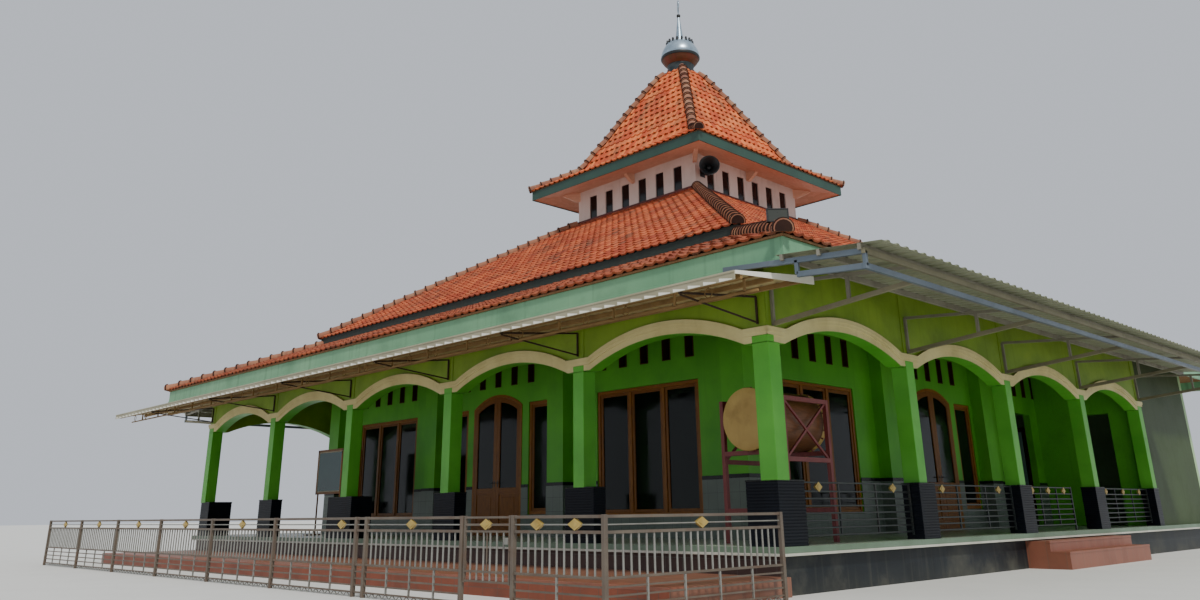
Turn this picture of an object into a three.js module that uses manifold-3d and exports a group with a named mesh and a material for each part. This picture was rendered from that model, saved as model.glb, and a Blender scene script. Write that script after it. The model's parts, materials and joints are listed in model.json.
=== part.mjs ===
// A village mosque: a square prayer hall on a raised floor, with an arched veranda on three sides,
// a roof in three tiers with a lantern between the upper two, sheet canopies, railings, a steel
// fence and a big drum on its stand. Millimetres, +Z up. The origin is on the ground under the
// middle of the building. The front faces -Y.

import * as THREE from 'three';
import { mergeVertices } from 'three/addons/utils/BufferGeometryUtils.js';
import Module from 'manifold-3d';

const wasm = await Module();
wasm.setup();

// Driving dimensions of the plan
const COLUMN = 235;
const BAYS = 5;
const FRONT_BAY = 3460;
const SIDE_BAY = 3500;
const OPEN_SIDE_BAYS = 4;
const HALL = 6400;
const WALL = 150;
const TOUCH = 0.3;

// Heights above the ground
const FLOOR = 550;
const SLAB = 90;
const TERRACE = 220;

// Heights above the veranda floor
const PEDESTAL = 785;
const SPRING = 2490;
const RISE = 320;
const BAND = 190;
const ARCH_SHOULDER = 250;
const SILL = 350;
const LITE_SILL = 400;
const HEAD = 2565;
const VENT_SILL = 2950;
const VENT_HEAD = 3470;
const DOOR_SPRING = 2540;
const DOOR_CROWN = 2797;

// Windows, vents and pilasters of the hall, along each wall from its middle
const LITE = [1020, 1750];
const WINDOW = [3010, 5500];
const DOORWAY = [3950, 4950];
const DOORWAY_HEAD = 2550;
const PILASTER = [1870, 2330];
const PILASTER_PROUD = 250;
const VENT_WIDTH = 200;
const VENT_PITCH = 540;
const VENT_CENTRES = [-4255, 0, 4255];

// Doors
const DOOR_HALF = 810;
const FRAME_WIDTH = 55;
const FRAME_DEPTH = 120;
const FRAME_PROUD = 10;
const LEAF = 45;
const LEAF_GAP = 5;
const SHEET = 8;

// Roofs: half sizes, and heights above the veranda floor
const EAVE = 9677;
const EAVE_TOP = 3580;
const EAVE_PITCH = 0.393;
const EAVE_LIP = 25;
const LOWER_DEPTH = 120;
const FASCIA_BOARD = 40;
const FASCIA_TOP = 3540;
const FASCIA_BOTTOM = 3240;
const MID_EAVE = 6950;
const MID_TOP = 7900;
const MID_PITCH = 0.6252;
const MID_DEPTH = 200;
const LANTERN = 2107;
const LANTERN_WALL = 120;
const LANTERN_SEAT = 7850;
const LANTERN_TOP = 8820;
const SLOT = { width: 270, pitch: 610, sill: 7930, head: 8600, count: 6 };
const UPPER_EAVE = 3000;
const UPPER_LIP = 30;
const UPPER_SOFFIT = 8645;
const UPPER_SEAT = 8875;
const UPPER_BREAK = 9350;
const UPPER_CURVE = [
  [2410, 9240], [2030, 9460], [1780, 9950], [1530, 10350], [1320, 10750], [1040, 11250],
  [760, 11750], [460, 12240], [100, 12680],
];
const UPPER_VAULT = 12450;
const APEX = 12680;

// Canopies, measured outwards from the arcade's face
const CANOPY_STEEL = 40;
const FRONT_CANOPY = { reach: 1620, wall: 3170, edge: 2985, left: 11030, right: 9550, sheet: 12, lip: 70 };
const SIDE_CANOPY = { start: 918, reach: 2300, chord: 2050, web: 1170, wall: 3250, pitch: 0.0765, sheet: 12 };
const SIDE_CANOPY_AHEAD = 950;
const STRUT_FOOT = 2700;

const HALF_X = (BAYS * FRONT_BAY + COLUMN) / 2;
const HALF_Y = (BAYS * SIDE_BAY + COLUMN) / 2;
const FRONT_FIRST = -HALF_X + COLUMN / 2;
const SIDE_FIRST = -HALF_Y + COLUMN / 2;
const END_WALL = SIDE_FIRST + OPEN_SIDE_BAYS * SIDE_BAY + COLUMN / 2;
const HALL_INSIDE = HALL - WALL;
const PILASTER_FACE = HALL + PILASTER_PROUD;
const ARC_STEPS = 4;
const ROUND_SIDES = 12;
const HIGH = 9000;

const group = new THREE.Group();

// Surface finishes
const finish = (color, roughness, metalness = 0) =>
  new THREE.MeshStandardMaterial({ color, roughness, metalness });
const FINISH = {
  masonry: finish(0x4fa82e, 0.7),
  paleMasonry: finish(0xa9c39a, 0.75),
  plinth: finish(0x2a3238, 0.6),
  slab: finish(0x9aae98, 0.6),
  terrace: finish(0x8a4a35, 0.5),
  tiles: finish(0xc8643c, 0.8),
  fascia: finish(0x7fa893, 0.6),
  lantern: finish(0xc9b3ac, 0.8),
  eaves: finish(0xc87850, 0.75),
  metal: finish(0xa8b0b6, 0.35, 0.9),
  wood: finish(0x6b3a14, 0.5),
  leaf: finish(0x8a5a20, 0.45),
  steel: finish(0x6a6e70, 0.5, 0.6),
  sheet: finish(0x8a8a70, 0.55, 0.4),
  purlin: finish(0x6a4a34, 0.6, 0.3),
  hide: finish(0xb08a4c, 0.7),
  stand: finish(0x7a3430, 0.55),
  horn: finish(0x3a3d40, 0.5, 0.3),
  board: finish(0xd8dcd8, 0.5),
};

// Corner indices of each triangle
function triangles(geometry) {
  const index = geometry.index.array;
  return Array.from({ length: index.length / 3 }, (_, i) => index.slice(3 * i, 3 * i + 3));
}

function volume(geometry) {
  const corner = (i) => new THREE.Vector3().fromBufferAttribute(geometry.attributes.position, i);
  return triangles(geometry).reduce((sum, [a, b, c]) => sum + corner(a).dot(corner(b).cross(corner(c))), 0);
}

// One closed surface with shared corners, no flat triangles, and faces that point outwards
function closed(geometry) {
  const bare = geometry.clone();
  bare.deleteAttribute('normal');
  bare.deleteAttribute('uv');
  const merged = mergeVertices(bare, 0.01);
  const kept = triangles(merged).filter(([a, b, c]) => a !== b && b !== c && c !== a);
  merged.setIndex(kept.flatMap((t) => [...t]));
  if (volume(merged) < 0) merged.setIndex(kept.flatMap(([a, b, c]) => [a, c, b]));
  return merged;
}

function toSolid(geometry) {
  const shape = closed(geometry);
  return new wasm.Manifold(new wasm.Mesh({
    numProp: 3,
    vertProperties: new Float32Array(shape.attributes.position.array),
    triVerts: new Uint32Array(shape.index.array),
  }));
}

function toGeometry(solid) {
  const mesh = solid.getMesh();
  const geometry = new THREE.BufferGeometry();
  geometry.setAttribute('position', new THREE.BufferAttribute(mesh.vertProperties, 3));
  geometry.setIndex(new THREE.BufferAttribute(mesh.triVerts, 1));
  return geometry;
}

const join = (geometries) => toGeometry(geometries.map(toSolid).reduce((a, b) => a.add(b)));
const cut = (geometry, tools) =>
  toGeometry(tools.map(toSolid).reduce((a, b) => a.subtract(b), toSolid(geometry)));
const common = (a, b) => toGeometry(toSolid(a).intersect(toSolid(b)));

// A box between three ranges
function block([x0, x1], [y0, y1], [z0, z1]) {
  const box = new THREE.BoxGeometry(x1 - x0, y1 - y0, z1 - z0);
  return box.translate((x0 + x1) / 2, (y0 + y1) / 2, (z0 + z1) / 2);
}

// A straight bar between two points, so wide and so high across
function bar(from, to, width, height = width) {
  const a = new THREE.Vector3(...from);
  const b = new THREE.Vector3(...to);
  const along = b.clone().sub(a);
  const length = along.length();
  along.normalize();
  const upright = Math.abs(along.z) > 0.99 ? new THREE.Vector3(0, 1, 0) : new THREE.Vector3(0, 0, 1);
  const side = new THREE.Vector3().crossVectors(upright, along).normalize();
  const top = new THREE.Vector3().crossVectors(along, side);
  const place = new THREE.Matrix4().makeBasis(along, side, top).setPosition(a.add(b).multiplyScalar(0.5));
  return new THREE.BoxGeometry(length, width, height).applyMatrix4(place);
}

// An upright plate: an outline in x and z with its thickness between two depths in y
function plate(outline, [y0, y1]) {
  const shape = outline instanceof THREE.Shape ? outline : new THREE.Shape(outline);
  const settings = { depth: y1 - y0, bevelEnabled: false, curveSegments: ARC_STEPS };
  return new THREE.ExtrudeGeometry(shape, settings).rotateX(Math.PI / 2).translate(0, y1, 0);
}

// A square ring or pyramid: the profile gives half size and height above the veranda floor
function squareTurned(profile) {
  const points = profile.map(([half, height]) => new THREE.Vector2(half * Math.SQRT2, FLOOR + height));
  return new THREE.LatheGeometry(points, 4, Math.PI / 4).rotateX(Math.PI / 2);
}

const squareRing = (profile) => squareTurned([...profile, profile[0]]);

// One side of a square ring, parted from its neighbours at the corners; 0 is the front, 1 the right
function ringSide(ring, i) {
  const start = TOUCH / Math.SQRT2;
  const reach = 2 * HALF_Y;
  const corners = [[0, -start], [-reach, -start - reach], [reach, -start - reach]];
  const wedge = new THREE.Shape(corners.map(([x, y]) => new THREE.Vector2(x, y)));
  const tool = new THREE.ExtrudeGeometry(wedge, { depth: 2 * HIGH, bevelEnabled: false });
  return common(ring, tool.rotateZ((i * Math.PI) / 2));
}

// A round turned body about +Z
function turned(profile, sides = ROUND_SIDES) {
  const points = profile.map(([radius, height]) => new THREE.Vector2(radius, height));
  return new THREE.LatheGeometry(points, sides).rotateX(Math.PI / 2);
}

const above = ([low, high]) => [FLOOR + low, FLOOR + high];
const mirrored = (geometry) => geometry.clone().scale(-1, 1, 1);
const turnedRight = (geometry) => geometry.clone().rotateZ(Math.PI / 2);

function piece(name, geometry, material) {
  const mesh = new THREE.Mesh(closed(geometry), material);
  mesh.geometry.computeVertexNormals();
  mesh.name = name;
  group.add(mesh);
}

// Roof surfaces: height above the veranda floor at a half size
const lowerRoofTop = (half) => EAVE_TOP + (EAVE - half) * EAVE_PITCH;
const midRoofTop = (half) => MID_TOP - (half - LANTERN) * MID_PITCH;

// The space over the underside of a roof, which trims the walls that carry it
function spaceOver(top, depth) {
  const under = (half) => top(half) - depth - TOUCH;
  return squareTurned([[0, under(0)], [EAVE, under(EAVE)], [EAVE, HIGH], [0, HIGH]]);
}

const overLowerRoof = spaceOver(lowerRoofTop, LOWER_DEPTH);
const overMidRoof = spaceOver(midRoofTop, MID_DEPTH);

// Base

function plinth() {
  const top = FLOOR - SLAB;
  return block([-HALF_X, HALF_X], [-HALF_Y, HALF_Y], [0, top]);
}

const SLAB_OUT = 100;

function floorSlab() {
  const half = HALF_X + SLAB_OUT;
  return block([-half, half], [-HALF_Y - SLAB_OUT, HALF_Y], [FLOOR - SLAB, FLOOR]);
}

const TERRACE_DEPTH = 2150;

function frontTerrace() {
  return block([-HALF_X, HALF_X + SLAB_OUT], [-HALF_Y - TERRACE_DEPTH, -HALF_Y], [0, TERRACE]);
}

const STEP_HALF = 1950;
const STEP_TREAD = 300;
const STEP_TOPS = [430, 270];

function sideSteps() {
  const flight = STEP_TOPS.map((top, i) => {
    const out = HALF_X + SLAB_OUT + (i + 1) * STEP_TREAD;
    return block([HALF_X, out], [-STEP_HALF, STEP_HALF], [0, top]);
  });
  return join(flight);
}

// Arcades, drawn as a front one: x along it, the outer face towards -Y

// The line of a row of arches, level over each column and an arc over each bay
function scallop(from, to, first, bay, bays, level) {
  const half = bay / 2 - ARCH_SHOULDER;
  const radius = (half ** 2 + RISE ** 2) / (2 * RISE);
  const spread = Math.asin(half / radius);
  const path = new THREE.Path().moveTo(from, FLOOR + level);
  for (let i = 0; i < bays; i += 1) {
    const middle = first + (i + 0.5) * bay;
    const centre = FLOOR + level + RISE - radius;
    path.lineTo(middle - half, FLOOR + level);
    path.absarc(middle, centre, radius, Math.PI / 2 + spread, Math.PI / 2 - spread, true);
  }
  path.lineTo(to, FLOOR + level);
  return path.getPoints(ARC_STEPS);
}

const BAND_PROUD = 25;
const STRIP_PROUD = 12;

function arcade({ face, from, to, first, bay, bays, columns, pedestals }) {
  const lower = scallop(from, to, first, bay, bays, SPRING);
  const upper = scallop(from, to, first, bay, bays, SPRING + BAND);
  const corners = [new THREE.Vector2(to, HIGH), new THREE.Vector2(from, HIGH)];
  const wall = plate([...lower, ...corners], [-face, -face + COLUMN]);
  const band = plate([...lower, ...upper.reverse()], [-face - BAND_PROUD, -face + COLUMN / 2]);
  const posts = columns.flatMap((i) => {
    const x = first + i * bay;
    const across = [x - COLUMN / 2, x + COLUMN / 2];
    return [
      block(across, [-face, -face + COLUMN], above([0, SPRING])),
      block(across, [-face - STRIP_PROUD, -face + COLUMN / 2], above([SPRING + BAND, HIGH - FLOOR])),
    ];
  });
  const feet = pedestals.map(({ x, depth }) => block(x, depth.map((d) => d - face), above([0, PEDESTAL])));
  return cut(join([wall, band, ...posts, ...feet]), [overLowerRoof]);
}

const CORNER_PEDESTAL = { length: 485, proud: 10, depth: 560 };
const FRONT_PEDESTAL = { half: 315, proud: 15, depth: COLUMN };
const WIDE_PEDESTAL = { extra: 300, depth: 450 };
const SIDE_PEDESTAL = { ahead: 70, behind: 180, proud: 45 };
const WIDE_COLUMN = 2;

function frontArcade() {
  const { length, proud, depth } = CORNER_PEDESTAL;
  const corner = [HALF_X - length, HALF_X + proud];
  const inner = [1, 2, 3, 4].map((i) => {
    const x = FRONT_FIRST + i * FRONT_BAY;
    const wide = i === WIDE_COLUMN;
    const left = FRONT_PEDESTAL.half + (wide ? WIDE_PEDESTAL.extra : 0);
    const back = wide ? WIDE_PEDESTAL.depth : FRONT_PEDESTAL.depth;
    return { x: [x - left, x + FRONT_PEDESTAL.half], depth: [-FRONT_PEDESTAL.proud, back] };
  });
  const ends = [corner, corner.map((x) => -x).reverse()].map((x) => ({ x, depth: [-proud, depth] }));
  return arcade({
    face: HALF_Y, from: -HALF_X, to: HALF_X, first: FRONT_FIRST, bay: FRONT_BAY, bays: BAYS,
    columns: [0, 1, 2, 3, 4, 5], pedestals: [...inner, ...ends],
  });
}

function sideArcade() {
  const { ahead, behind, proud } = SIDE_PEDESTAL;
  const columns = [1, 2, 3, 4];
  const pedestals = columns.map((i) => {
    const x = SIDE_FIRST + i * SIDE_BAY;
    const far = i === OPEN_SIDE_BAYS ? 0 : behind;
    return { x: [x - COLUMN / 2 - ahead, x + COLUMN / 2 + far], depth: [-proud, COLUMN] };
  });
  return turnedRight(arcade({
    face: HALF_X, from: -HALF_Y + COLUMN, to: END_WALL, first: SIDE_FIRST, bay: SIDE_BAY,
    bays: OPEN_SIDE_BAYS, columns, pedestals,
  }));
}

// Hall walls, drawn as the front one: x along it, the outer face at -HALL

const DOOR_ARCH_RISE = DOOR_CROWN - DOOR_SPRING;
const DOOR_RADIUS = (DOOR_HALF ** 2 + DOOR_ARCH_RISE ** 2) / (2 * DOOR_ARCH_RISE);
const DOOR_CENTRE = FLOOR + DOOR_CROWN - DOOR_RADIUS;

// The outline of an arched opening, drawn in from the wall's own by an inset
function doorArch(inset, foot = FLOOR, x0 = inset - DOOR_HALF, x1 = DOOR_HALF - inset) {
  const radius = DOOR_RADIUS - inset;
  const angle = (x) => Math.PI / 2 - Math.asin(x / radius);
  const arch = new THREE.Path().absarc(0, DOOR_CENTRE, radius, angle(x0), angle(x1), true);
  const feet = [new THREE.Vector2(x1, foot), new THREE.Vector2(x0, foot)];
  return new THREE.Shape([...arch.getPoints(ARC_STEPS), ...feet]);
}

// The same range on the other side of the wall's middle
const before = ([a, b]) => [-b, -a];

// The range of depth that a cutting block needs to go right through the hall wall
const THROUGH_WALL = [-HALL - WALL, -HALL + 2 * WALL];

const wallHole = (range, heights) => block(range, THROUGH_WALL, above(heights));

const ventTools = () => VENT_CENTRES.flatMap((centre) => [-2, -1, 0, 1, 2].map((k) => {
  const x = centre + k * VENT_PITCH;
  return wallHole([x - VENT_WIDTH / 2, x + VENT_WIDTH / 2], [VENT_SILL, VENT_HEAD]);
}));

function wallPilaster([x0, x1], inner = -HALL) {
  return cut(block([x0, x1], [-PILASTER_FACE, inner], [FLOOR, HIGH]), [overLowerRoof]);
}

// One stretch of hall wall with its pilasters and openings
function wallStretch([x0, x1], pilasters, holes) {
  const slab = cut(block([x0, x1], [-HALL, -HALL_INSIDE], [FLOOR, HIGH]), [overMidRoof]);
  return cut(join([slab, ...pilasters]), [...holes, ...ventTools()]);
}

const CORNER_PILASTER = 460;
const CORNER_INNER = PILASTER_FACE - CORNER_PILASTER;
const cornerPilaster = () => wallPilaster([CORNER_INNER, PILASTER_FACE], -CORNER_INNER);

function frontWallHalf() {
  const holes = [wallHole(WINDOW, [SILL, HEAD]), wallHole(LITE, [LITE_SILL, HEAD])];
  return wallStretch([DOOR_HALF, HALL], [wallPilaster(PILASTER), cornerPilaster()], holes);
}

function wallOverDoor() {
  const foot = FLOOR + DOOR_SPRING - RISE;
  const wall = block([-DOOR_HALF, DOOR_HALF], [-HALL, -HALL_INSIDE], [foot, HIGH]);
  return cut(wall, [plate(doorArch(0), THROUGH_WALL), overMidRoof, ...ventTools()]);
}

function sideWallFront() {
  const holes = [wallHole(before(WINDOW), [SILL, HEAD]), wallHole(before(LITE), [LITE_SILL, HEAD])];
  return wallStretch([-CORNER_INNER, -DOOR_HALF], [wallPilaster(before(PILASTER))], holes);
}

function sideWallBack() {
  const holes = [wallHole(DOORWAY, [-1, DOORWAY_HEAD]), wallHole(LITE, [LITE_SILL, HEAD])];
  return wallStretch([DOOR_HALF, HALL], [wallPilaster(PILASTER)], holes);
}

const farSideWall = () => join([sideWallFront(), sideWallBack(), wallOverDoor()]);

// Side and back walls of the building behind the verandas

const CROSS_DOOR = [7200, 8050];
const CROSS_DOOR_HEAD = 2480;

function endWall() {
  const cross = block([HALL, HALF_X], [END_WALL, END_WALL + WALL], [FLOOR, HIGH]);
  const side = block([HALF_X - WALL, HALF_X], [END_WALL, HALF_Y - WALL], [FLOOR, HIGH]);
  const door = block(CROSS_DOOR, [END_WALL - WALL, END_WALL + 2 * WALL], above([-1, CROSS_DOOR_HEAD]));
  return cut(join([cross, side]), [door, overLowerRoof]);
}

const BACK_WINDOWS = [[-5500, -3010], [3010, 5500]];
const BACK_STRIP_PROUD = 25;

function backWall() {
  const depth = [HALF_Y - WALL, HALF_Y];
  const wall = block([-HALF_X, HALF_X], depth, [FLOOR, HIGH]);
  const strips = [0, 1, 2, 3, 4, 5].map((i) => {
    const x = FRONT_FIRST + i * FRONT_BAY;
    const across = [x - COLUMN / 2, x + COLUMN / 2];
    return block(across, [HALF_Y - WALL, HALF_Y + BACK_STRIP_PROUD], [FLOOR, HIGH]);
  });
  const through = [HALF_Y - 2 * WALL, HALF_Y + WALL];
  const holes = BACK_WINDOWS.map((x) => block(x, through, above([SILL, HEAD])));
  const vents = ventTools().map((vent) => vent.rotateZ(Math.PI).translate(0, HALF_Y - HALL, 0));
  return cut(join([wall, ...strips]), [...holes, ...vents, overLowerRoof]);
}

const BEAM_DEPTH = 700;

function backBeam() {
  const bottom = FLOOR + midRoofTop(HALL) - MID_DEPTH - BEAM_DEPTH;
  return cut(block([-HALL_INSIDE, HALL_INSIDE], [HALL_INSIDE, HALL], [bottom, HIGH]), [overMidRoof]);
}

// Hinges: round knuckles on an upright axis, each with a strap to the piece that carries it

const KNUCKLE = { radius: 7, height: 60, strap: 40 };
const HINGE_HEIGHTS = [350, 2150];

const ordered = (a, b) => [Math.min(a, b), Math.max(a, b)];

function knuckle([x, y], [strapX, strapY], [z0, z1]) {
  const height = z1 - z0;
  const barrel = new THREE.CylinderGeometry(KNUCKLE.radius, KNUCKLE.radius, height, 6);
  barrel.rotateX(Math.PI / 2).translate(x, y, z0 + height / 2);
  return [barrel, block(ordered(x, strapX), ordered(y, strapY), [z0, z1])];
}

const LEAF_EDGE = DOOR_HALF - FRAME_WIDTH - LEAF_GAP;
const HINGE_X = LEAF_EDGE + LEAF_GAP / 2;
const FRAME_FACE = HALL + FRAME_PROUD;
const HINGE_Y = FRAME_FACE + KNUCKLE.radius + TOUCH;
const STRAP_SET = 1;

// A knuckle on the hinge line of one side's leaf, its strap running out or in from it
const doorKnuckle = (side, reach, span) =>
  knuckle([side * HINGE_X, -HINGE_Y], [side * (HINGE_X + reach), -FRAME_FACE + STRAP_SET], above(span));

function doorFrame() {
  const depth = [-FRAME_FACE, -FRAME_FACE + FRAME_DEPTH];
  const outer = plate(doorArch(TOUCH), depth);
  const inner = plate(doorArch(FRAME_WIDTH, 0), THROUGH_WALL);
  const knuckles = HINGE_HEIGHTS.flatMap((z) => [-1, 1].flatMap((side) =>
    doorKnuckle(side, KNUCKLE.strap, [z - KNUCKLE.height - TOUCH, z - TOUCH])));
  return join([cut(outer, [inner]), ...knuckles]);
}

function doorLeaf(side) {
  const inset = FRAME_WIDTH + LEAF_GAP;
  const edges = ordered(side * LEAF_EDGE, side * LEAF_GAP / 2);
  const outline = doorArch(inset, FLOOR + LEAF_GAP, ...edges);
  const leaf = plate(outline, [-FRAME_FACE, -FRAME_FACE + LEAF]);
  const knuckles = HINGE_HEIGHTS.flatMap((z) => doorKnuckle(side, -KNUCKLE.strap, [z, z + KNUCKLE.height]));
  return join([leaf, ...knuckles]);
}

// Window joinery: a framed sheet closes the openings of one stretch of wall from the inside

const JOINERY = { gap: 3, stile: 60, set: 20, lap: 30 };

function windowFrame([x0, x1], heights, lites, depth) {
  const [z0, z1] = above(heights);
  const { gap, stile } = JOINERY;
  const pitch = (x1 - x0 - 2 * gap - stile) / lites;
  const through = [depth[0] - stile, depth[1] + stile];
  const holes = Array.from({ length: lites }, (_, i) => {
    const left = x0 + gap + stile + i * pitch;
    return block([left, left + pitch - stile], through, [z0 + gap + stile, z1 - gap - stile]);
  });
  return cut(block([x0 + gap, x1 - gap], depth, [z0 + gap, z1 - gap]), holes);
}

const windowDepth = [-HALL + JOINERY.set, -HALL_INSIDE];

function windowSheet([x0, x1], frames) {
  const { lap } = JOINERY;
  const inside = [-HALL_INSIDE, -HALL_INSIDE + SHEET];
  return join([block([x0 - lap, x1 + lap], inside, above([SILL - lap, HEAD + lap])), ...frames]);
}

const threeLites = (range) => windowFrame(range, [SILL, HEAD], 3, windowDepth);
const oneLite = (range) => windowFrame(range, [LITE_SILL, HEAD], 1, windowDepth);
const frontWindows = () => windowSheet([LITE[0], WINDOW[1]], [threeLites(WINDOW), oneLite(LITE)]);
const sideFrontWindows = () => mirrored(frontWindows());
const sideBackWindows = () => windowSheet(LITE, [oneLite(LITE)]);

// The far side's joinery, with a fixed door panel between its side lights
function farSideWindows() {
  const panel = plate(doorArch(JOINERY.gap, FLOOR + TOUCH), windowDepth);
  const frames = [threeLites(before(WINDOW)), oneLite(before(LITE)), oneLite(LITE), panel];
  return windowSheet([-WINDOW[1], LITE[1]], frames);
}

function backWindows() {
  const { lap, set } = JOINERY;
  const depth = [HALF_Y - WALL, HALF_Y - set];
  const frames = BACK_WINDOWS.map((x) => windowFrame(x, [SILL, HEAD], 3, depth));
  const across = [BACK_WINDOWS[0][0] - lap, BACK_WINDOWS[1][1] + lap];
  const sheet = block(across, [HALF_Y - WALL - SHEET, HALF_Y - WALL], above([SILL - lap, HEAD + lap]));
  return join([sheet, ...frames]);
}

// Roofs

function lowerRoof() {
  const inner = HALL + TOUCH;
  const edge = EAVE - FASCIA_BOARD;
  const lip = EAVE + EAVE_LIP;
  return squareRing([
    [inner, lowerRoofTop(inner)], [inner, lowerRoofTop(inner) - LOWER_DEPTH],
    [edge, lowerRoofTop(edge) - LOWER_DEPTH], [edge, FASCIA_TOP + TOUCH],
    [lip, FASCIA_TOP + TOUCH], [lip, lowerRoofTop(lip)],
  ]);
}

function lowerFascia() {
  const back = EAVE - FASCIA_BOARD + TOUCH;
  return squareRing([[back, FASCIA_BOTTOM], [EAVE, FASCIA_BOTTOM], [EAVE, FASCIA_TOP], [back, FASCIA_TOP]]);
}

function midRoof() {
  const seat = LANTERN - LANTERN_WALL;
  const outer = LANTERN + TOUCH;
  return squareRing([
    [MID_EAVE, midRoofTop(MID_EAVE)], [outer, midRoofTop(outer)], [outer, LANTERN_SEAT],
    [seat, LANTERN_SEAT], [seat, midRoofTop(seat) - MID_DEPTH],
    [MID_EAVE - TOUCH, midRoofTop(MID_EAVE) - MID_DEPTH],
  ]);
}

function lantern() {
  const inner = LANTERN - LANTERN_WALL;
  const walls = squareRing([
    [inner, LANTERN_SEAT], [LANTERN, LANTERN_SEAT], [LANTERN, LANTERN_TOP], [inner, LANTERN_TOP],
  ]);
  const slots = Array.from({ length: SLOT.count }, (_, i) => {
    const x = (i - (SLOT.count - 1) / 2) * SLOT.pitch;
    const across = [x - SLOT.width / 2, x + SLOT.width / 2];
    const slot = block(across, [-2 * LANTERN, 2 * LANTERN], above([SLOT.sill, SLOT.head]));
    return [slot, turnedRight(slot)];
  });
  return cut(walls, slots.flat());
}

function upperEaves() {
  const inner = LANTERN - LANTERN_WALL;
  return squareRing([
    [inner, LANTERN_TOP], [LANTERN, LANTERN_TOP], [UPPER_EAVE, UPPER_SOFFIT],
    [UPPER_EAVE, UPPER_SEAT - TOUCH], [inner, UPPER_BREAK - TOUCH],
  ]);
}

function upperRoof() {
  const edge = UPPER_EAVE + UPPER_LIP;
  const inner = LANTERN - LANTERN_WALL;
  const rim = 11;
  const vaultFoot = [inner - LANTERN_WALL / 2, UPPER_BREAK + LANTERN_WALL];
  return squareTurned([
    [0, UPPER_VAULT], vaultFoot, [inner, UPPER_BREAK], [UPPER_EAVE, UPPER_SEAT],
    [edge, UPPER_SEAT], [edge, UPPER_SEAT + rim], ...UPPER_CURVE, [0, APEX],
  ]);
}

// Finial: bowl and dome, collar, spire, ball and a ring with a disc
const FINIAL = [
  [0, 0], [180, 0], [250, 70], [430, 110], [540, 190], [560, 270], [540, 330], [420, 400],
  [400, 480], [330, 640], [200, 760], [90, 830], [60, 900], [50, 1100], [28, 1400], [20, 1600], [0, 1600],
];
const FINIAL_RING = { radius: 165, tube: 22, height: 1960, stem: 16 };
const FINIAL_BALL = { radius: 48, height: 1650 };
const SPIRE_FOOT = 1590;

function finial() {
  const foot = FLOOR + APEX + TOUCH;
  const { radius, tube, height, stem } = FINIAL_RING;
  const body = turned(FINIAL.map(([r, z]) => [r, foot + z]));
  const spireTop = height - radius;
  const spire = new THREE.CylinderGeometry(stem, stem, spireTop - SPIRE_FOOT, 8);
  spire.rotateX(Math.PI / 2).translate(0, 0, foot + (spireTop + SPIRE_FOOT) / 2);
  const ball = new THREE.SphereGeometry(FINIAL_BALL.radius, 8, 6);
  ball.translate(0, 0, foot + FINIAL_BALL.height);
  const ring = new THREE.TorusGeometry(radius, tube, 5, 14).rotateX(Math.PI / 2).rotateZ(Math.PI / 4);
  return join([body, spire, ball, ring.translate(0, 0, foot + height)]);
}

// A horn loudspeaker beside the lantern's front corner
const HORN = { mouth: 250, throat: 60, length: 380, driver: 90, height: 8330, out: 2335, side: -1895 };

function loudspeaker() {
  const { mouth, throat, length, driver, height, out, side } = HORN;
  const shell = turned([
    [0, -160], [driver, -160], [driver, 0], [throat, 20], [110, 200], [mouth, length],
    [mouth - 12, length], [98, 205], [throat - 15, 60], [0, 60],
  ]);
  shell.rotateX(Math.PI / 2).rotateZ(Math.PI / 4).translate(out, side, FLOOR + height);
  const wallFace = LANTERN + TOUCH;
  const arm = block([wallFace, out], [side + 20, side + 80], above([height - 30, height + 30]));
  const padDepth = [wallFace, wallFace + 20];
  const pad = block(padDepth, [side - 40, side + 140], above([height - 100, height + 100]));
  return join([shell, arm, pad]);
}

// A flat floodlight on the corner of the lower roof
const FLOODLIGHT = { half: 9515, width: 270, height: 175, depth: 60, centre: 3865, stem: 40 };

function floodlight() {
  const { half, width, height, depth, centre, stem } = FLOODLIGHT;
  const around = (size) => [-size / 2, size / 2];
  const box = block(around(width), around(depth), above([centre - height / 2, centre + height / 2]));
  const stalk = block(around(stem), around(stem), above([EAVE_TOP, centre]));
  const lamp = join([box, stalk]).rotateZ(Math.PI / 4).translate(half, -half, 0);
  const lip = EAVE + EAVE_LIP;
  const underTiles = squareTurned([
    [0, -FLOOR], [lip, -FLOOR], [lip, lowerRoofTop(lip) + TOUCH], [0, lowerRoofTop(0) + TOUCH],
  ]);
  return cut(lamp, [underTiles]);
}

// Canopies

// The front canopy's underside at a distance out from the arcade
function frontCanopyUnder(out) {
  const { reach, wall, edge, sheet } = FRONT_CANOPY;
  return wall - sheet - (out / reach) * (wall - edge);
}

function frontCanopySheet() {
  const { reach, wall, edge, left, right, sheet, lip } = FRONT_CANOPY;
  const start = BAND_PROUD + STRIP_PROUD;
  const top = wall - (start / reach) * (wall - edge);
  const outline = [
    [-start, top], [-reach, edge], [-reach, edge - lip], [-reach + sheet, edge - lip],
    [-reach + sheet, frontCanopyUnder(reach - sheet)], [-start, frontCanopyUnder(start)],
  ].map(([y, z]) => new THREE.Vector2(y - HALF_Y, FLOOR + z));
  const settings = { depth: left + right, bevelEnabled: false };
  const run = new THREE.ExtrudeGeometry(new THREE.Shape(outline), settings);
  return run.rotateX(Math.PI / 2).rotateZ(Math.PI / 2).translate(-left, 0, 0);
}

const PURLIN = { width: 40, height: 60 };
const FRONT_PURLINS = [300, 900, 1500];

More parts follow.
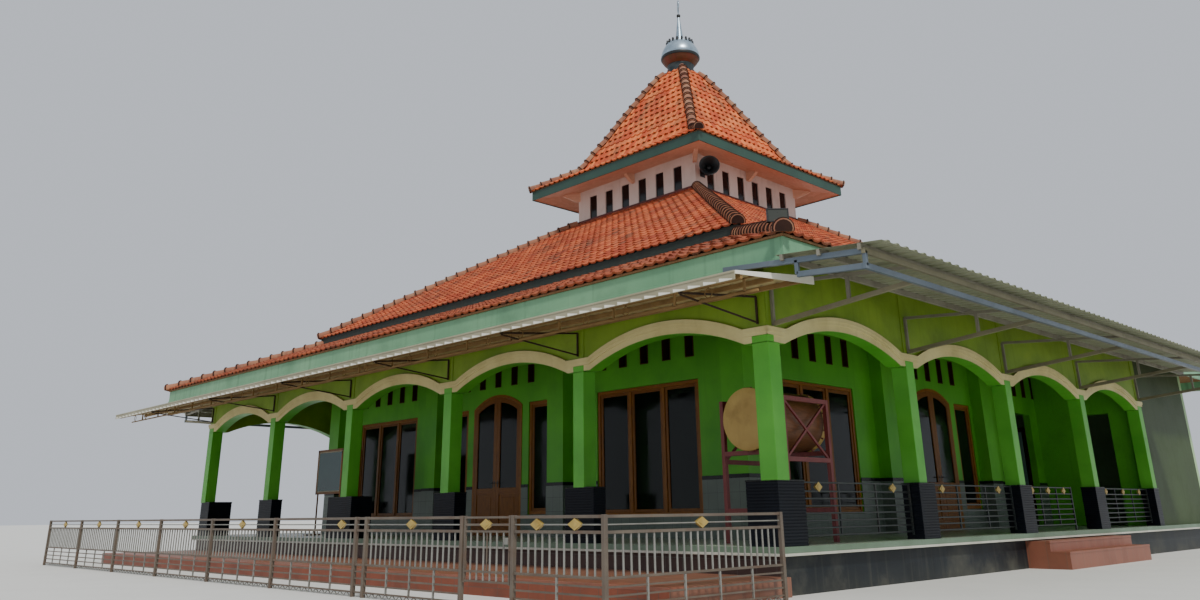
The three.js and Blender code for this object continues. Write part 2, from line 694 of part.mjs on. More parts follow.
function frontCanopyFrame() {
  const { reach, left, right } = FRONT_CANOPY;
  const wallFace = STRIP_PROUD + TOUCH;
  const half = CANOPY_STEEL / 2;
  const notch = 15;
  const chordDrop = PURLIN.height + TOUCH + half - notch;
  const tip = reach - 60;
  const at = (x, out, z) => [x, -HALF_Y - out, FLOOR + z];
  const chordZ = (out) => frontCanopyUnder(out) - chordDrop;
  const brackets = [0, 1, 2, 3, 4, 5].flatMap((i) => {
    const x = FRONT_FIRST + i * FRONT_BAY;
    const start = wallFace + half;
    const depth = [-HALF_Y - wallFace - CANOPY_STEEL, -HALF_Y - wallFace];
    return [
      block([x - half, x + half], depth, above([STRUT_FOOT + half, chordZ(start) + half])),
      bar(at(x, start, chordZ(start)), at(x, tip, chordZ(tip)), CANOPY_STEEL),
      bar(at(x, start, STRUT_FOOT + 2 * half), at(x, tip - half, chordZ(tip) - half), CANOPY_STEEL),
    ];
  });
  const purlins = FRONT_PURLINS.map((out) => {
    const across = [-HALF_Y - out - PURLIN.width / 2, -HALF_Y - out + PURLIN.width / 2];
    const top = frontCanopyUnder(out + PURLIN.width / 2) - TOUCH;
    return block([-left, right], across, above([top - PURLIN.height, top]));
  });
  return join([...brackets, ...purlins]);
}

// The right canopy's first frame stands ahead of the building, the left one's at its corner
const RIGHT_CANOPY_FRONT = -HALF_Y - SIDE_CANOPY_AHEAD;
const LEFT_CANOPY_FRONT = SIDE_FIRST;
const CANOPY_LAP = 60;
const SIDE_PURLINS = [1000, 1500, 2020];
const SIDE_BEAM = { drop: 170, height: 60 };

// The side canopy's chord height at a distance out from the arcade
const sideChord = (out) => SIDE_CANOPY.wall - out * SIDE_CANOPY.pitch;

function sideCanopySheet(front) {
  const { start, reach, sheet } = SIDE_CANOPY;
  const under = (out) => FLOOR + sideChord(out) + CANOPY_STEEL / 2 + PURLIN.height;
  const outline = [
    [start, under(start)],
    [reach, under(reach)],
    [reach, under(reach) + sheet],
    [start, under(start) + sheet],
  ].map(([out, z]) => new THREE.Vector2(HALF_X + out, z));
  return plate(outline, [front - CANOPY_LAP, END_WALL]);
}

const sideBeamZ = (out) => sideChord(out) - SIDE_BEAM.drop;

const canopyPoint = (y, out, z) => [HALF_X + out, y, FLOOR + z];

// A chord, a strut below it and an upright between them, fixed to a column of the arcade
function sideBracket(y) {
  const { chord, web } = SIDE_CANOPY;
  const half = CANOPY_STEEL / 2;
  const face = STRIP_PROUD + TOUCH;
  const start = face + half;
  const strutFoot = STRUT_FOOT + half;
  const slope = (sideBeamZ(chord) - strutFoot) / (chord - start);
  const at = (out, z) => canopyPoint(y, out, z);
  const wallPlate = [HALF_X + face, HALF_X + face + CANOPY_STEEL];
  return [
    block(wallPlate, [y - half, y + half], above([STRUT_FOOT, sideChord(start)])),
    bar(at(start, sideChord(start)), at(chord, sideChord(chord)), CANOPY_STEEL),
    bar(at(start, strutFoot), at(chord, sideBeamZ(chord)), CANOPY_STEEL),
    bar(at(web, strutFoot + slope * (web - start)), at(web, sideChord(web)), CANOPY_STEEL),
  ];
}

// The open frame that closes the right canopy's front end
function sideEndFrame(y) {
  const { chord, web } = SIDE_CANOPY;
  const inner = 100;
  const at = (out, z) => canopyPoint(y, out, z);
  return [
    bar(at(inner, sideChord(inner)), at(chord, sideChord(chord)), CANOPY_STEEL, SIDE_BEAM.height),
    bar(at(web, sideBeamZ(web)), at(chord, sideBeamZ(chord)), CANOPY_STEEL, SIDE_BEAM.height),
    bar(at(web, sideBeamZ(web)), at(web, sideChord(web)), CANOPY_STEEL),
  ];
}

function sideCanopyFrame(front) {
  const { chord } = SIDE_CANOPY;
  const half = CANOPY_STEEL / 2;
  const beamHalf = SIDE_BEAM.height / 2;
  const brackets = [0, 1, 2, 3, 4].flatMap((i) => sideBracket(SIDE_FIRST + i * SIDE_BAY));
  const endFrame = front === SIDE_FIRST ? [] : sideEndFrame(front);
  const across = [HALF_X + chord - half, HALF_X + chord + half];
  const beams = [sideChord(chord), sideBeamZ(chord)].map((z) =>
    block(across, [front - CANOPY_LAP / 2, END_WALL], above([z - beamHalf, z + beamHalf])));
  const post = [sideBeamZ(chord), sideChord(chord)].map((z) => canopyPoint(front, chord, z));
  const purlins = SIDE_PURLINS.map((out) => {
    const edge = out + PURLIN.width / 2;
    const top = sideChord(edge) + half + PURLIN.height - TOUCH;
    const range = [HALF_X + edge - PURLIN.width, HALF_X + edge];
    return block(range, [front - CANOPY_LAP, END_WALL], above([top - PURLIN.height - half / 2, top]));
  });
  return join([...brackets, ...endFrame, ...beams, bar(...post, CANOPY_STEEL), ...purlins]);
}

// Railings between the pedestals of the side arcade

const RAIL = 22;
const RAIL_HEIGHTS = [110, 200, 290, 380, 470, 560, 650, 760];
const RAIL_POST = 30;
const RAIL_POST_FOOT = 60;
const POST_TOP = 8;

// A square turned on its point, held between two rails
function diamond(x, [low, high]) {
  const side = (high - low) / Math.SQRT2;
  return new THREE.BoxGeometry(side, RAIL / 2, side).rotateY(Math.PI / 4).translate(x, 0, (low + high) / 2);
}

function railing([x0, x1], standing) {
  const half = RAIL / 2;
  const ends = [x0 + TOUCH + RAIL_POST / 2, x1 - TOUCH - RAIL_POST / 2];
  const top = RAIL_HEIGHTS.at(-1);
  const gap = top - RAIL_HEIGHTS.at(-2);
  const rails = RAIL_HEIGHTS.map((z) => block(ends, [-half, half], above([z - half, z + half])));
  const foot = (i) => (standing && i === 1 ? 0 : RAIL_POST_FOOT);
  const postDepth = [-RAIL_POST / 2, RAIL_POST / 2];
  const posts = ends.map((x, i) =>
    block([x - RAIL_POST / 2, x + RAIL_POST / 2], postDepth, above([foot(i), top + half + POST_TOP])));
  const third = (ends[1] - ends[0]) / 3;
  const middle = (ends[0] + ends[1]) / 2;
  const uprightDepth = [-half - 2, half + 2];
  const upright = block([middle - half, middle + half], uprightDepth, above([RAIL_HEIGHTS[0], top - gap]));
  const diamonds = [0.5, 1.5, 2.5].map((k) => diamond(ends[0] + k * third, above([top - gap, top])));
  return join([...rails, ...posts, upright, ...diamonds]);
}

const RAIL_LINE = HALF_X - COLUMN / 2;
const STEP_GAP_START = 720;

function sideRailing(i) {
  const column = (k) => SIDE_FIRST + k * SIDE_BAY;
  const start = i === 0 ? -HALF_Y + CORNER_PEDESTAL.depth : column(i) + COLUMN / 2 + SIDE_PEDESTAL.behind;
  const end = i === 2 ? STEP_GAP_START : column(i + 1) - COLUMN / 2 - SIDE_PEDESTAL.ahead;
  return turnedRight(railing([start, end], i === 2).translate(0, -RAIL_LINE, 0));
}

// Fence along the street, drawn along x. Heights are above the ground

const FENCE = { line: HALF_Y + 3262, bar: 22, post: 50, pitch: 480, left: -9070, right: 9070 };
const FENCE_RAILS = [935, 860, 790, 380];
const FENCE_LOW_RAILS = [260, 140];
const FENCE_POSTS = [-9070, -6820, -4570, -2320, -70, 2170, 4470, 4720, 6780];
const GATE = { left: 6780, right: 7690, foot: 270, gap: 20 };
const GATE_AXIS = [GATE.left + (FENCE.post + GATE.gap) / 2, FENCE.post / 2 + KNUCKLE.radius + TOUCH];
const GATE_DIAMOND = 7220;
const GATE_HINGES = [420, 840];
const GATE_STOP = { reach: 60, thick: 6, span: [600, 640] };
const RETURN_END = HALF_Y + 420;

function fenceRun([x0, x1], posts, rails, foot) {
  const half = FENCE.bar / 2;
  const post = FENCE.post / 2;
  const across = [-half, half];
  const top = rails[0] + half + POST_TOP;
  const stands = posts.map((x) => block([x - post, x + post], [-post, post], [foot, top]));
  const lines = rails.map((z) => block([x0, x1], across, [z - half, z + half]));
  const count = Math.round((x1 - x0) / FENCE.pitch);
  const step = (x1 - x0) / count;
  const lowest = rails[3];
  const balusters = Array.from({ length: count - 1 }, (_, i) => Math.round(x0 + (i + 1) * step))
    .filter((x) => posts.every((p) => Math.abs(p - x) > post + half))
    .map((x) => block([x - half / 2, x + half / 2], [-half / 2, half / 2], [lowest, rails[2]]));
  return [...stands, ...lines, ...balusters];
}

const fenceDiamonds = (places) => places.map((x) => diamond(x, [FENCE_RAILS[2], FENCE_RAILS[0]]));

function fenceFront() {
  const range = [FENCE.left, GATE.left];
  const rails = [...FENCE_RAILS, ...FENCE_LOW_RAILS];
  const marks = [-7945, -5695, -3445, -1195, 1050, 4090, 5750];
  const knuckles = GATE_HINGES.flatMap((z) =>
    knuckle(GATE_AXIS, [GATE.left, FENCE.post / 2 - STRAP_SET], [z - KNUCKLE.height - TOUCH, z - TOUCH]));
  const panels = fenceRun(range, FENCE_POSTS, rails, 0);
  return join([...panels, ...fenceDiamonds(marks), ...knuckles]).translate(0, -FENCE.line, 0);
}

function fenceGate() {
  const post = FENCE.post / 2;
  const range = [GATE.left + post + GATE.gap + post / 2, GATE.right - post - GATE.gap - post / 2];
  const half = post / 2;
  const height = [GATE.foot - POST_TOP, FENCE_RAILS[0] + FENCE.bar / 2 + POST_TOP];
  const stiles = range.map((x) => block([x - half, x + half], [-half, half], height));
  const run = fenceRun(range, [], FENCE_RAILS, 0);
  const foot = block(range, [-FENCE.bar / 2, FENCE.bar / 2], [GATE.foot, GATE.foot + FENCE.bar]);
  const knuckles = GATE_HINGES.flatMap((z) => knuckle(GATE_AXIS, [range[0], 0], [z, z + KNUCKLE.height]));
  const bars = [...stiles, ...run, foot, ...fenceDiamonds([GATE_DIAMOND]), ...knuckles];
  return join(bars).translate(0, -FENCE.line, 0);
}

function fenceFrontRight() {
  const rails = [...FENCE_RAILS, ...FENCE_LOW_RAILS];
  const posts = [GATE.right, FENCE.right];
  const stile = FENCE.post / 4 + TOUCH;
  const across = [GATE.right - GATE_STOP.reach, GATE.right];
  const stop = block(across, [-stile - GATE_STOP.thick, -stile], GATE_STOP.span);
  const panel = fenceRun(posts, posts, rails, 0);
  return join([...panel, ...fenceDiamonds([8080, 8660]), stop]).translate(0, -FENCE.line, 0);
}

function fenceReturn() {
  const start = -FENCE.line + FENCE.post / 2 + TOUCH;
  const rails = [...FENCE_RAILS, ...FENCE_LOW_RAILS];
  const run = fenceRun([start, -RETURN_END], [-RETURN_END], rails, 0);
  const middle = (start - RETURN_END) / 2;
  return turnedRight(join([...run, ...fenceDiamonds([middle])]).translate(0, -FENCE.right, 0));
}

// The big drum and its stand

const DRUM = { x: 7870, head: -8230, radius: 425, barrel: 405, hoop: 60, length: 1330, height: 1610 };
const STAND = { left: 7315, right: 8345, front: -8050, back: -7010, post: 60 };
const STAND_RAILS = { top: 1900, side: 1100, low: 450 };

function drum() {
  const { x, head, radius, barrel, hoop, length, height } = DRUM;
  const body = turned([
    [0, 0], [radius, 0], [radius, hoop], [barrel, hoop],
    [barrel, length - hoop], [radius, length - hoop], [radius, length], [0, length],
  ]);
  return body.rotateX(-Math.PI / 2).translate(x, head, FLOOR + height);
}

function drumStand() {
  const { left, right, front, back, post } = STAND;
  const { top, side, low } = STAND_RAILS;
  const half = post / 2;
  const sides = [left, right];
  const seat = DRUM.height - DRUM.barrel - TOUCH;
  const posts = sides.flatMap((x) => [front, back].map((y) =>
    block([x - half, x + half], [y - half, y + half], above([0, top]))));
  const frames = sides.flatMap((x) => {
    const run = [front, back];
    return [
      block([x - half, x + half], run, above([top - post, top])),
      block([x - half, x + half], run, above([side - post, side])),
      bar([x, front, FLOOR + side - half], [x, back, FLOOR + top - half], half, half),
      bar([x, front, FLOOR + top - half], [x, back, FLOOR + side - half], half, half),
    ];
  });
  const rails = [front, back].flatMap((y) => [
    block(sides, [y - half, y + half], above([seat - post, seat])),
    block(sides, [y - half, y + half], above([low - post, low])),
  ]);
  return join([...posts, ...frames, ...rails]);
}

// Boards on two legs each in the front veranda

const BOARD = { leg: 30, foot: 225 };

function standingBoard({ x: [x0, x1], y, z: [z0, z1] }) {
  const leg = BOARD.leg;
  const face = block([x0, x1], [y, y + leg], above([z0, z1]));
  const legDepth = [y + leg, y + 2 * leg];
  const footDepth = [y - BOARD.foot, y + BOARD.foot];
  const legs = [x0 + leg, x1 - 2 * leg].flatMap((x) => [
    block([x, x + leg], legDepth, above([0, z1 - leg])),
    block([x, x + leg], footDepth, above([0, leg])),
  ]);
  return join([face, ...legs]);
}

const NOTICE_BOARD = { x: [-5350, -4150], y: -7600, z: [900, 1900] };
const POSTER_BOARD = { x: [-3700, -2900], y: -7900, z: [700, 1800] };

// The assembly

piece('plinth', plinth(), FINISH.plinth);
piece('floor_slab', floorSlab(), FINISH.slab);
piece('front_terrace', frontTerrace(), FINISH.terrace);
piece('side_steps', sideSteps(), FINISH.terrace);
piece('front_arcade', frontArcade(), FINISH.masonry);
piece('right_arcade', sideArcade(), FINISH.masonry);
piece('left_arcade', mirrored(sideArcade()), FINISH.masonry);
piece('front_wall_right', frontWallHalf(), FINISH.masonry);
piece('front_wall_left', mirrored(frontWallHalf()), FINISH.masonry);
piece('front_wall_over_door', wallOverDoor(), FINISH.masonry);
piece('right_wall_front', turnedRight(sideWallFront()), FINISH.masonry);
piece('right_wall_back', turnedRight(sideWallBack()), FINISH.masonry);
piece('right_wall_over_door', turnedRight(wallOverDoor()), FINISH.masonry);
piece('left_wall', mirrored(turnedRight(farSideWall())), FINISH.masonry);
piece('right_end_wall', endWall(), FINISH.paleMasonry);
piece('left_end_wall', mirrored(endWall()), FINISH.paleMasonry);
piece('back_wall', backWall(), FINISH.paleMasonry);
piece('back_beam', backBeam(), FINISH.masonry);

piece('front_door_frame', doorFrame(), FINISH.wood);
piece('front_door_leaf_left', doorLeaf(-1), FINISH.leaf);
piece('front_door_leaf_right', doorLeaf(1), FINISH.leaf);
piece('side_door_frame', turnedRight(doorFrame()), FINISH.wood);
piece('side_door_leaf_front', turnedRight(doorLeaf(-1)), FINISH.leaf);
piece('side_door_leaf_back', turnedRight(doorLeaf(1)), FINISH.leaf);
piece('front_right_windows', frontWindows(), FINISH.wood);
piece('front_left_windows', mirrored(frontWindows()), FINISH.wood);
piece('right_front_windows', turnedRight(sideFrontWindows()), FINISH.wood);
piece('right_back_windows', turnedRight(sideBackWindows()), FINISH.wood);
piece('left_windows', mirrored(turnedRight(farSideWindows())), FINISH.wood);
piece('back_windows', backWindows(), FINISH.wood);

['front', 'right', 'back', 'left'].forEach((side, i) => {
  piece(`lower_roof_${side}`, ringSide(lowerRoof(), i), FINISH.tiles);
});
piece('lower_fascia', lowerFascia(), FINISH.fascia);
piece('mid_roof', midRoof(), FINISH.tiles);
piece('lantern_walls', lantern(), FINISH.lantern);
piece('upper_eaves', upperEaves(), FINISH.eaves);
piece('upper_roof', upperRoof(), FINISH.tiles);
piece('finial', finial(), FINISH.metal);
piece('loudspeaker', loudspeaker(), FINISH.horn);
piece('floodlight', floodlight(), FINISH.horn);

piece('front_canopy_sheet', frontCanopySheet(), FINISH.sheet);
piece('front_canopy_frame', frontCanopyFrame(), FINISH.purlin);
piece('right_canopy_sheet', sideCanopySheet(RIGHT_CANOPY_FRONT), FINISH.sheet);
piece('right_canopy_frame', sideCanopyFrame(RIGHT_CANOPY_FRONT), FINISH.steel);
piece('left_canopy_sheet', mirrored(sideCanopySheet(LEFT_CANOPY_FRONT)), FINISH.sheet);
piece('left_canopy_frame', mirrored(sideCanopyFrame(LEFT_CANOPY_FRONT)), FINISH.steel);

for (let i = 0; i < OPEN_SIDE_BAYS; i += 1) {
  piece(`right_railing_${i + 1}`, sideRailing(i), FINISH.steel);
}
piece('fence_front', fenceFront(), FINISH.steel);
piece('fence_gate', fenceGate(), FINISH.steel);
piece('fence_front_right', fenceFrontRight(), FINISH.steel);
piece('fence_return', fenceReturn(), FINISH.steel);

piece('drum', drum(), FINISH.hide);
piece('drum_stand', drumStand(), FINISH.stand);
piece('notice_board', standingBoard(NOTICE_BOARD), FINISH.board);
piece('poster_board', standingBoard(POSTER_BOARD), FINISH.board);

export default group;
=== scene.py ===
"""The looks of a village mosque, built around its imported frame. Metres, +Z up, the front faces -Y."""

import json
import logging
import math
import random
from dataclasses import dataclass, field, replace
from enum import Enum
from typing import Callable, Iterable, Sequence

import bmesh
import bpy
from mathutils import Matrix, Vector

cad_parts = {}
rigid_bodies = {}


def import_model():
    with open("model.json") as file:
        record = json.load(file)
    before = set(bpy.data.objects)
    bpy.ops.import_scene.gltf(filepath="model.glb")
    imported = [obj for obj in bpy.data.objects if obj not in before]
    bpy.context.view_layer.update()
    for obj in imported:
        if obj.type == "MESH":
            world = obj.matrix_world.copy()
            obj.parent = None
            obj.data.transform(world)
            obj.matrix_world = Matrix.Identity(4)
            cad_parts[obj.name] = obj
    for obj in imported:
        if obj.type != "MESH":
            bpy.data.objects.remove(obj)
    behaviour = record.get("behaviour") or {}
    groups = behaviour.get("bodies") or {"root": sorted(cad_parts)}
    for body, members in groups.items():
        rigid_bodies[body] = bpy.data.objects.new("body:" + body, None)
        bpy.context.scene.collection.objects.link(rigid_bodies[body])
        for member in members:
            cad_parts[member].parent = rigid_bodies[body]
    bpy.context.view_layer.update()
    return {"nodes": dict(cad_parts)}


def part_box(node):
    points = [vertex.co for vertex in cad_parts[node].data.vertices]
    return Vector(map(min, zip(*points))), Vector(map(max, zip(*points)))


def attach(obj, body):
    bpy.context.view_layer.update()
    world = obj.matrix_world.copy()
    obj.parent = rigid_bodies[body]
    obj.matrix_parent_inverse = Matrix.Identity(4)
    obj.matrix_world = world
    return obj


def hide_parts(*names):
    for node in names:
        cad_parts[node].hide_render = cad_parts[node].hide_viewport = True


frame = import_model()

LOG = logging.getLogger("mosque")
ROOT = "root"
HAIR = 0.0005
FINE = 0.002
SOFT = 0.003
BLUNT = 0.004
ROUND = 0.006

Point = tuple[float, float, float]
Pair = tuple[float, float]
Range = Pair
Outline = Sequence[Pair]
Line = list[Pair]
Verts = list[bmesh.types.BMVert]
Socket = bpy.types.NodeSocket

AS_DRAWN = Matrix.Identity(4)
MIRROR = Matrix.Scale(-1, 4, (1, 0, 0))
QUARTERS = [Matrix.Rotation(i * math.pi / 2, 4, "Z") for i in range(4)]


class Turn(Enum):
    """Where a piece that is drawn as a front one goes on the building."""

    FRONT = 0
    RIGHT = 90
    LEFT = -90
    BACK = 180

    @property
    def matrix(self) -> Matrix:
        """The turn about the upright axis; the left side is the right one mirrored.

        Returns:
            What takes a front piece to this side.
        """
        if self is Turn.LEFT:
            return MIRROR @ Turn.RIGHT.matrix
        return Matrix.Rotation(math.radians(self.value), 4, "Z")


@dataclass(frozen=True)
class Plan:
    """Driving dimensions of the building, in metres."""

    floor: float = 0.55
    slab: float = 0.09
    slab_out: float = 0.1
    column: float = 0.235
    bays: int = 5
    open_side_bays: int = 4
    front_bay: float = 3.46
    side_bay: float = 3.5
    hall: float = 6.4
    wall: float = 0.15
    spring: float = 2.49
    rise: float = 0.32
    band: float = 0.19
    shoulder: float = 0.25
    pedestal: float = 0.785
    sill: float = 0.35
    lite_sill: float = 0.4
    head: float = 2.565
    door_half: float = 0.81
    door_spring: float = 2.54
    door_crown: float = 2.797
    lite: Range = (1.02, 1.75)
    window: Range = (3.01, 5.5)
    doorway: Range = (3.95, 4.95)
    pilaster: Range = (1.87, 2.33)
    pilaster_proud: float = 0.25
    corner_pilaster: float = 0.46
    vent_width: float = 0.2
    vent_pitch: float = 0.54
    vent_sill: float = 2.95
    vent_head: float = 3.47
    vent_centres: tuple[float, ...] = (-4.255, 0.0, 4.255)
    eave: float = 9.677
    eave_top: float = 3.58
    eave_pitch: float = 0.393
    eave_lip: float = 0.025
    roof_depth: float = 0.12
    fascia_top: float = 3.54
    fascia_bottom: float = 3.24
    mid_eave: float = 6.95
    mid_top: float = 7.9
    mid_pitch: float = 0.6252
    lantern: float = 2.107
    lantern_seat: float = 7.85
    upper_eave: float = 3.0
    upper_lip: float = 0.03
    upper_soffit: float = 8.645
    upper_seat: float = 8.875
    apex: float = 12.68

    @property
    def half_x(self) -> float:
        """Half the width of the arcades."""
        return (self.bays * self.front_bay + self.column) / 2

    @property
    def half_y(self) -> float:
        """Half the depth of the building."""
        return (self.bays * self.side_bay + self.column) / 2

    @property
    def front_first(self) -> float:
        """The first column's middle along the front."""
        return -self.half_x + self.column / 2

    @property
    def side_first(self) -> float:
        """The first column's middle along a side."""
        return -self.half_y + self.column / 2

    @property
    def end_wall(self) -> float:
        """Where the verandas stop at the walls behind them."""
        return self.side_first + self.open_side_bays * self.side_bay + self.column / 2

    def up(self, height: float) -> float:
        """A height over the veranda floor as one over the ground."""
        return self.floor + height

    def lower_roof(self, half: float) -> float:
        """The lower roof's height over the ground at a half size."""
        return self.floor + self.eave_top + (self.eave - half) * self.eave_pitch

    def mid_roof(self, half: float) -> float:
        """The middle roof's height over the ground at a half size."""
        return self.floor + self.mid_top - (half - self.lantern) * self.mid_pitch


PLAN = Plan()


class Shape:
    """A mesh in the making."""

    def __init__(self) -> None:
        """Starts with nothing."""
        self.bm = bmesh.new()

    def block(self, place: Matrix, bevel: float) -> None:
        """Adds a block.

        Args:
            place: What makes a centred cube of one metre the block.
            bevel: The width of its softened edges, or none.
        """
        verts = bmesh.ops.create_cube(self.bm, size=1, matrix=place)["verts"]
        if bevel > 0:
            edges = list({e for v in verts for e in v.link_edges})
            bmesh.ops.bevel(self.bm, geom=edges, offset=bevel, offset_type="OFFSET", affect="EDGES",
                            segments=1, profile=0.5, material=-1)

    def box(self, low: Point, high: Point, bevel: float = 0.0) -> None:
        """Adds a level block between its lowest and its highest corner."""
        a, b = Vector(low), Vector(high)
        self.block(Matrix.Translation((a + b) / 2) @ Matrix.Diagonal((*(b - a), 1)), bevel)

    def bar(self, start: Point, end: Point, width: float, height: float, bevel: float = 0.0) -> None:
        """Adds a straight bar between two points.

        Args:
            start: The middle of its first end.
            end: The middle of its last end.
            width: Its size across, level where that can be.
            height: Its size across the other way.
            bevel: The width of its softened edges, or none.
        """
        a, b = Vector(start), Vector(end)
        along = (b - a).normalized()
        upright = Vector((0, 1, 0)) if abs(along.z) > 0.99 else Vector((0, 0, 1))
        side = upright.cross(along).normalized()
        turn = Matrix((along, side, along.cross(side))).transposed().to_4x4()
        size = Matrix.Diagonal(((b - a).length, width, height, 1))
        self.block(Matrix.Translation((a + b) / 2) @ turn @ size, bevel)

    def rod(self, start: Point, end: Point, radius: float, sides: int = 8,
            tip: float | None = None) -> Verts:
        """Adds a round rod or a cone between two points.

        Args:
            start: The middle of its first end.
            end: The middle of its last end.
            radius: Its radius at the first end.
            sides: How many flats it has.
            tip: Its radius at the last end, if it tapers.

        Returns:
            The new vertices.
        """
        a, b = Vector(start), Vector(end)
        turn = (b - a).to_track_quat("Z", "Y").to_matrix().to_4x4()
        return bmesh.ops.create_cone(
            self.bm, cap_ends=True, segments=sides, radius1=radius, radius2=radius if tip is None else tip,
            depth=(b - a).length, matrix=Matrix.Translation((a + b) / 2) @ turn)["verts"]

    def pull(self, faces: Sequence[bmesh.types.BMFace], along: Point) -> None:
        """Makes faces a solid by pulling them along a line.

        Args:
            faces: The faces.
            along: The way and length that they are pulled.
        """
        made = bmesh.ops.extrude_face_region(self.bm, geom=faces)
        far = [v for v in made["geom"] if isinstance(v, bmesh.types.BMVert)]
        bmesh.ops.translate(self.bm, verts=far, vec=Vector(along))

    def prism(self, outline: Iterable[Sequence[float]], along: Point) -> None:
        """Adds a flat outline pulled along a line."""
        self.pull([self.bm.faces.new([self.bm.verts.new(p) for p in outline])], along)

    def strip(self, low: Sequence[Point], high: Sequence[Point], along: Point) -> None:
        """Adds a solid band.

        Args:
            low: The points of its one edge.
            high: As many points of the other edge.
            along: The way and length that it is pulled.
        """
        first, second = ([self.bm.verts.new(p) for p in line] for line in (low, high))
        self.pull([self.bm.faces.new((first[i], first[i + 1], second[i + 1], second[i]))
                   for i in range(len(first) - 1)], along)

    def sheet(self, outer: Line, inner: Line, near: float, far: float) -> None:
        """Adds a band that stands upright and faces the front.

        Args:
            outer: Places along it with heights, at its one edge.
            inner: As many places with heights, at its other edge.
            near: Where its front is.
            far: Where its back is.
        """
        low, high = ([(x, near, z) for x, z in line] for line in (outer, inner))
        self.strip(low, high, (0, far - near, 0))

    def lathe(self, profile: Outline, steps: int, centre: Point = (0, 0, 0)) -> None:
        """Adds a body turned about an upright axis.

        Args:
            profile: Radii and heights, from the axis or closed on itself.
            steps: How many flats a turn has.
            centre: Where the axis meets the level that heights are counted from.
        """
        middle = Vector(centre)
        verts = [self.bm.verts.new(middle + Vector((r, 0, z))) for r, z in profile]
        edges = [self.bm.edges.new(pair) for pair in zip(verts, verts[1:])]
        bmesh.ops.spin(self.bm, geom=verts + edges, cent=middle, axis=(0, 0, 1), angle=math.tau, steps=steps,
                       use_merge=True)
        bmesh.ops.remove_doubles(self.bm, verts=self.bm.verts, dist=HAIR / 5)

    def repeated(self, matrices: Iterable[Matrix]) -> None:
        """Keeps a copy of the whole shape at each place instead of the first one.

        Args:
            matrices: What takes the first one to each place.
        """
        first = list(self.bm.verts) + list(self.bm.edges) + list(self.bm.faces)
        for matrix in matrices:
            made = bmesh.ops.duplicate(self.bm, geom=first)["geom"]
            verts = [v for v in made if isinstance(v, bmesh.types.BMVert)]
            bmesh.ops.transform(self.bm, matrix=matrix, verts=verts)
        old = [v for v in first if isinstance(v, bmesh.types.BMVert)]
        bmesh.ops.delete(self.bm, geom=old, context="VERTS")

    def piece(self, name: str, finish: "Finish", body: str = ROOT, replaces: Sequence[str] = (),
              smooth: float | None = None, facing: bool = True, at: Matrix = AS_DRAWN) -> None:
        """Makes the shape a piece of the object.

        Args:
            name: The piece's name.
            finish: Its surface.
            body: The body that it rides on.
            replaces: The frame's nodes that it stands for.
            smooth: The sharpest angle, in degrees, that is shaded smooth, or none.
            facing: Whether its faces are turned outwards first, as closed forms need.
            at: Where the shape goes.
        """
        bmesh.ops.transform(self.bm, matrix=at, verts=self.bm.verts)
        if facing:
            bmesh.ops.recalc_face_normals(self.bm, faces=self.bm.faces)
        if smooth is not None:
            limit = math.radians(smooth)
            for face in self.bm.faces:
                face.smooth = True
            for edge in self.bm.edges:
                edge.smooth = len(edge.link_faces) == 2 and edge.calc_face_angle(0) < limit
        mesh = bpy.data.meshes.new(name)
        self.bm.to_mesh(mesh)
        self.bm.free()
        made = bpy.data.objects.new(name, mesh)
        bpy.context.scene.collection.objects.link(made)
        mesh.materials.append(finish.material())
        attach(made, body)
        if replaces:
            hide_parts(*replaces)


def length_of(line: Sequence[Vector]) -> float:
    """How long a line of points is."""
    return sum((b - a).length for a, b in zip(line, line[1:]))


def walk(line: Sequence[Vector], distance: float) -> Vector:
    """The point at a distance along a line.

    Args:
        line: The line's corners.
        distance: How far along.

    Returns:
        The point there, or the last corner beyond the end.
    """
    for start, end in zip(line, line[1:]):
        length = (end - start).length
        if distance <= length:
            return start.lerp(end, distance / length)
        distance -= length
    return line[-1]


def arc(centre: Pair, radius: float, start: float, end: float, steps: int) -> Line:
    """Points along a round stretch.

    Args:
        centre: The circle's middle.
        radius: The circle's radius.
        start: The first angle, in radians.
        end: The last angle, in radians.
        steps: How many straight stretches stand for it.

    Returns:
        The points, both ends included.
    """
    angles = [start + (end - start) * i / steps for i in range(steps + 1)]
    return [(centre[0] + radius * math.cos(a), centre[1] + radius * math.sin(a)) for a in angles]


def linear(code: str) -> tuple[float, float, float, float]:
    """A scene colour from a screen colour.

    Args:
        code: The screen colour in six hexadecimal digits, red first.

    Returns:
        Red, green, blue and full alpha.
    """
    values = [int(code[i:i + 2], 16) / 255 for i in (0, 2, 4)]
    bent = [v / 12.92 if v <= 0.04045 else ((v + 0.055) / 1.055) ** 2.4 for v in values]
    return (bent[0], bent[1], bent[2], 1.0)


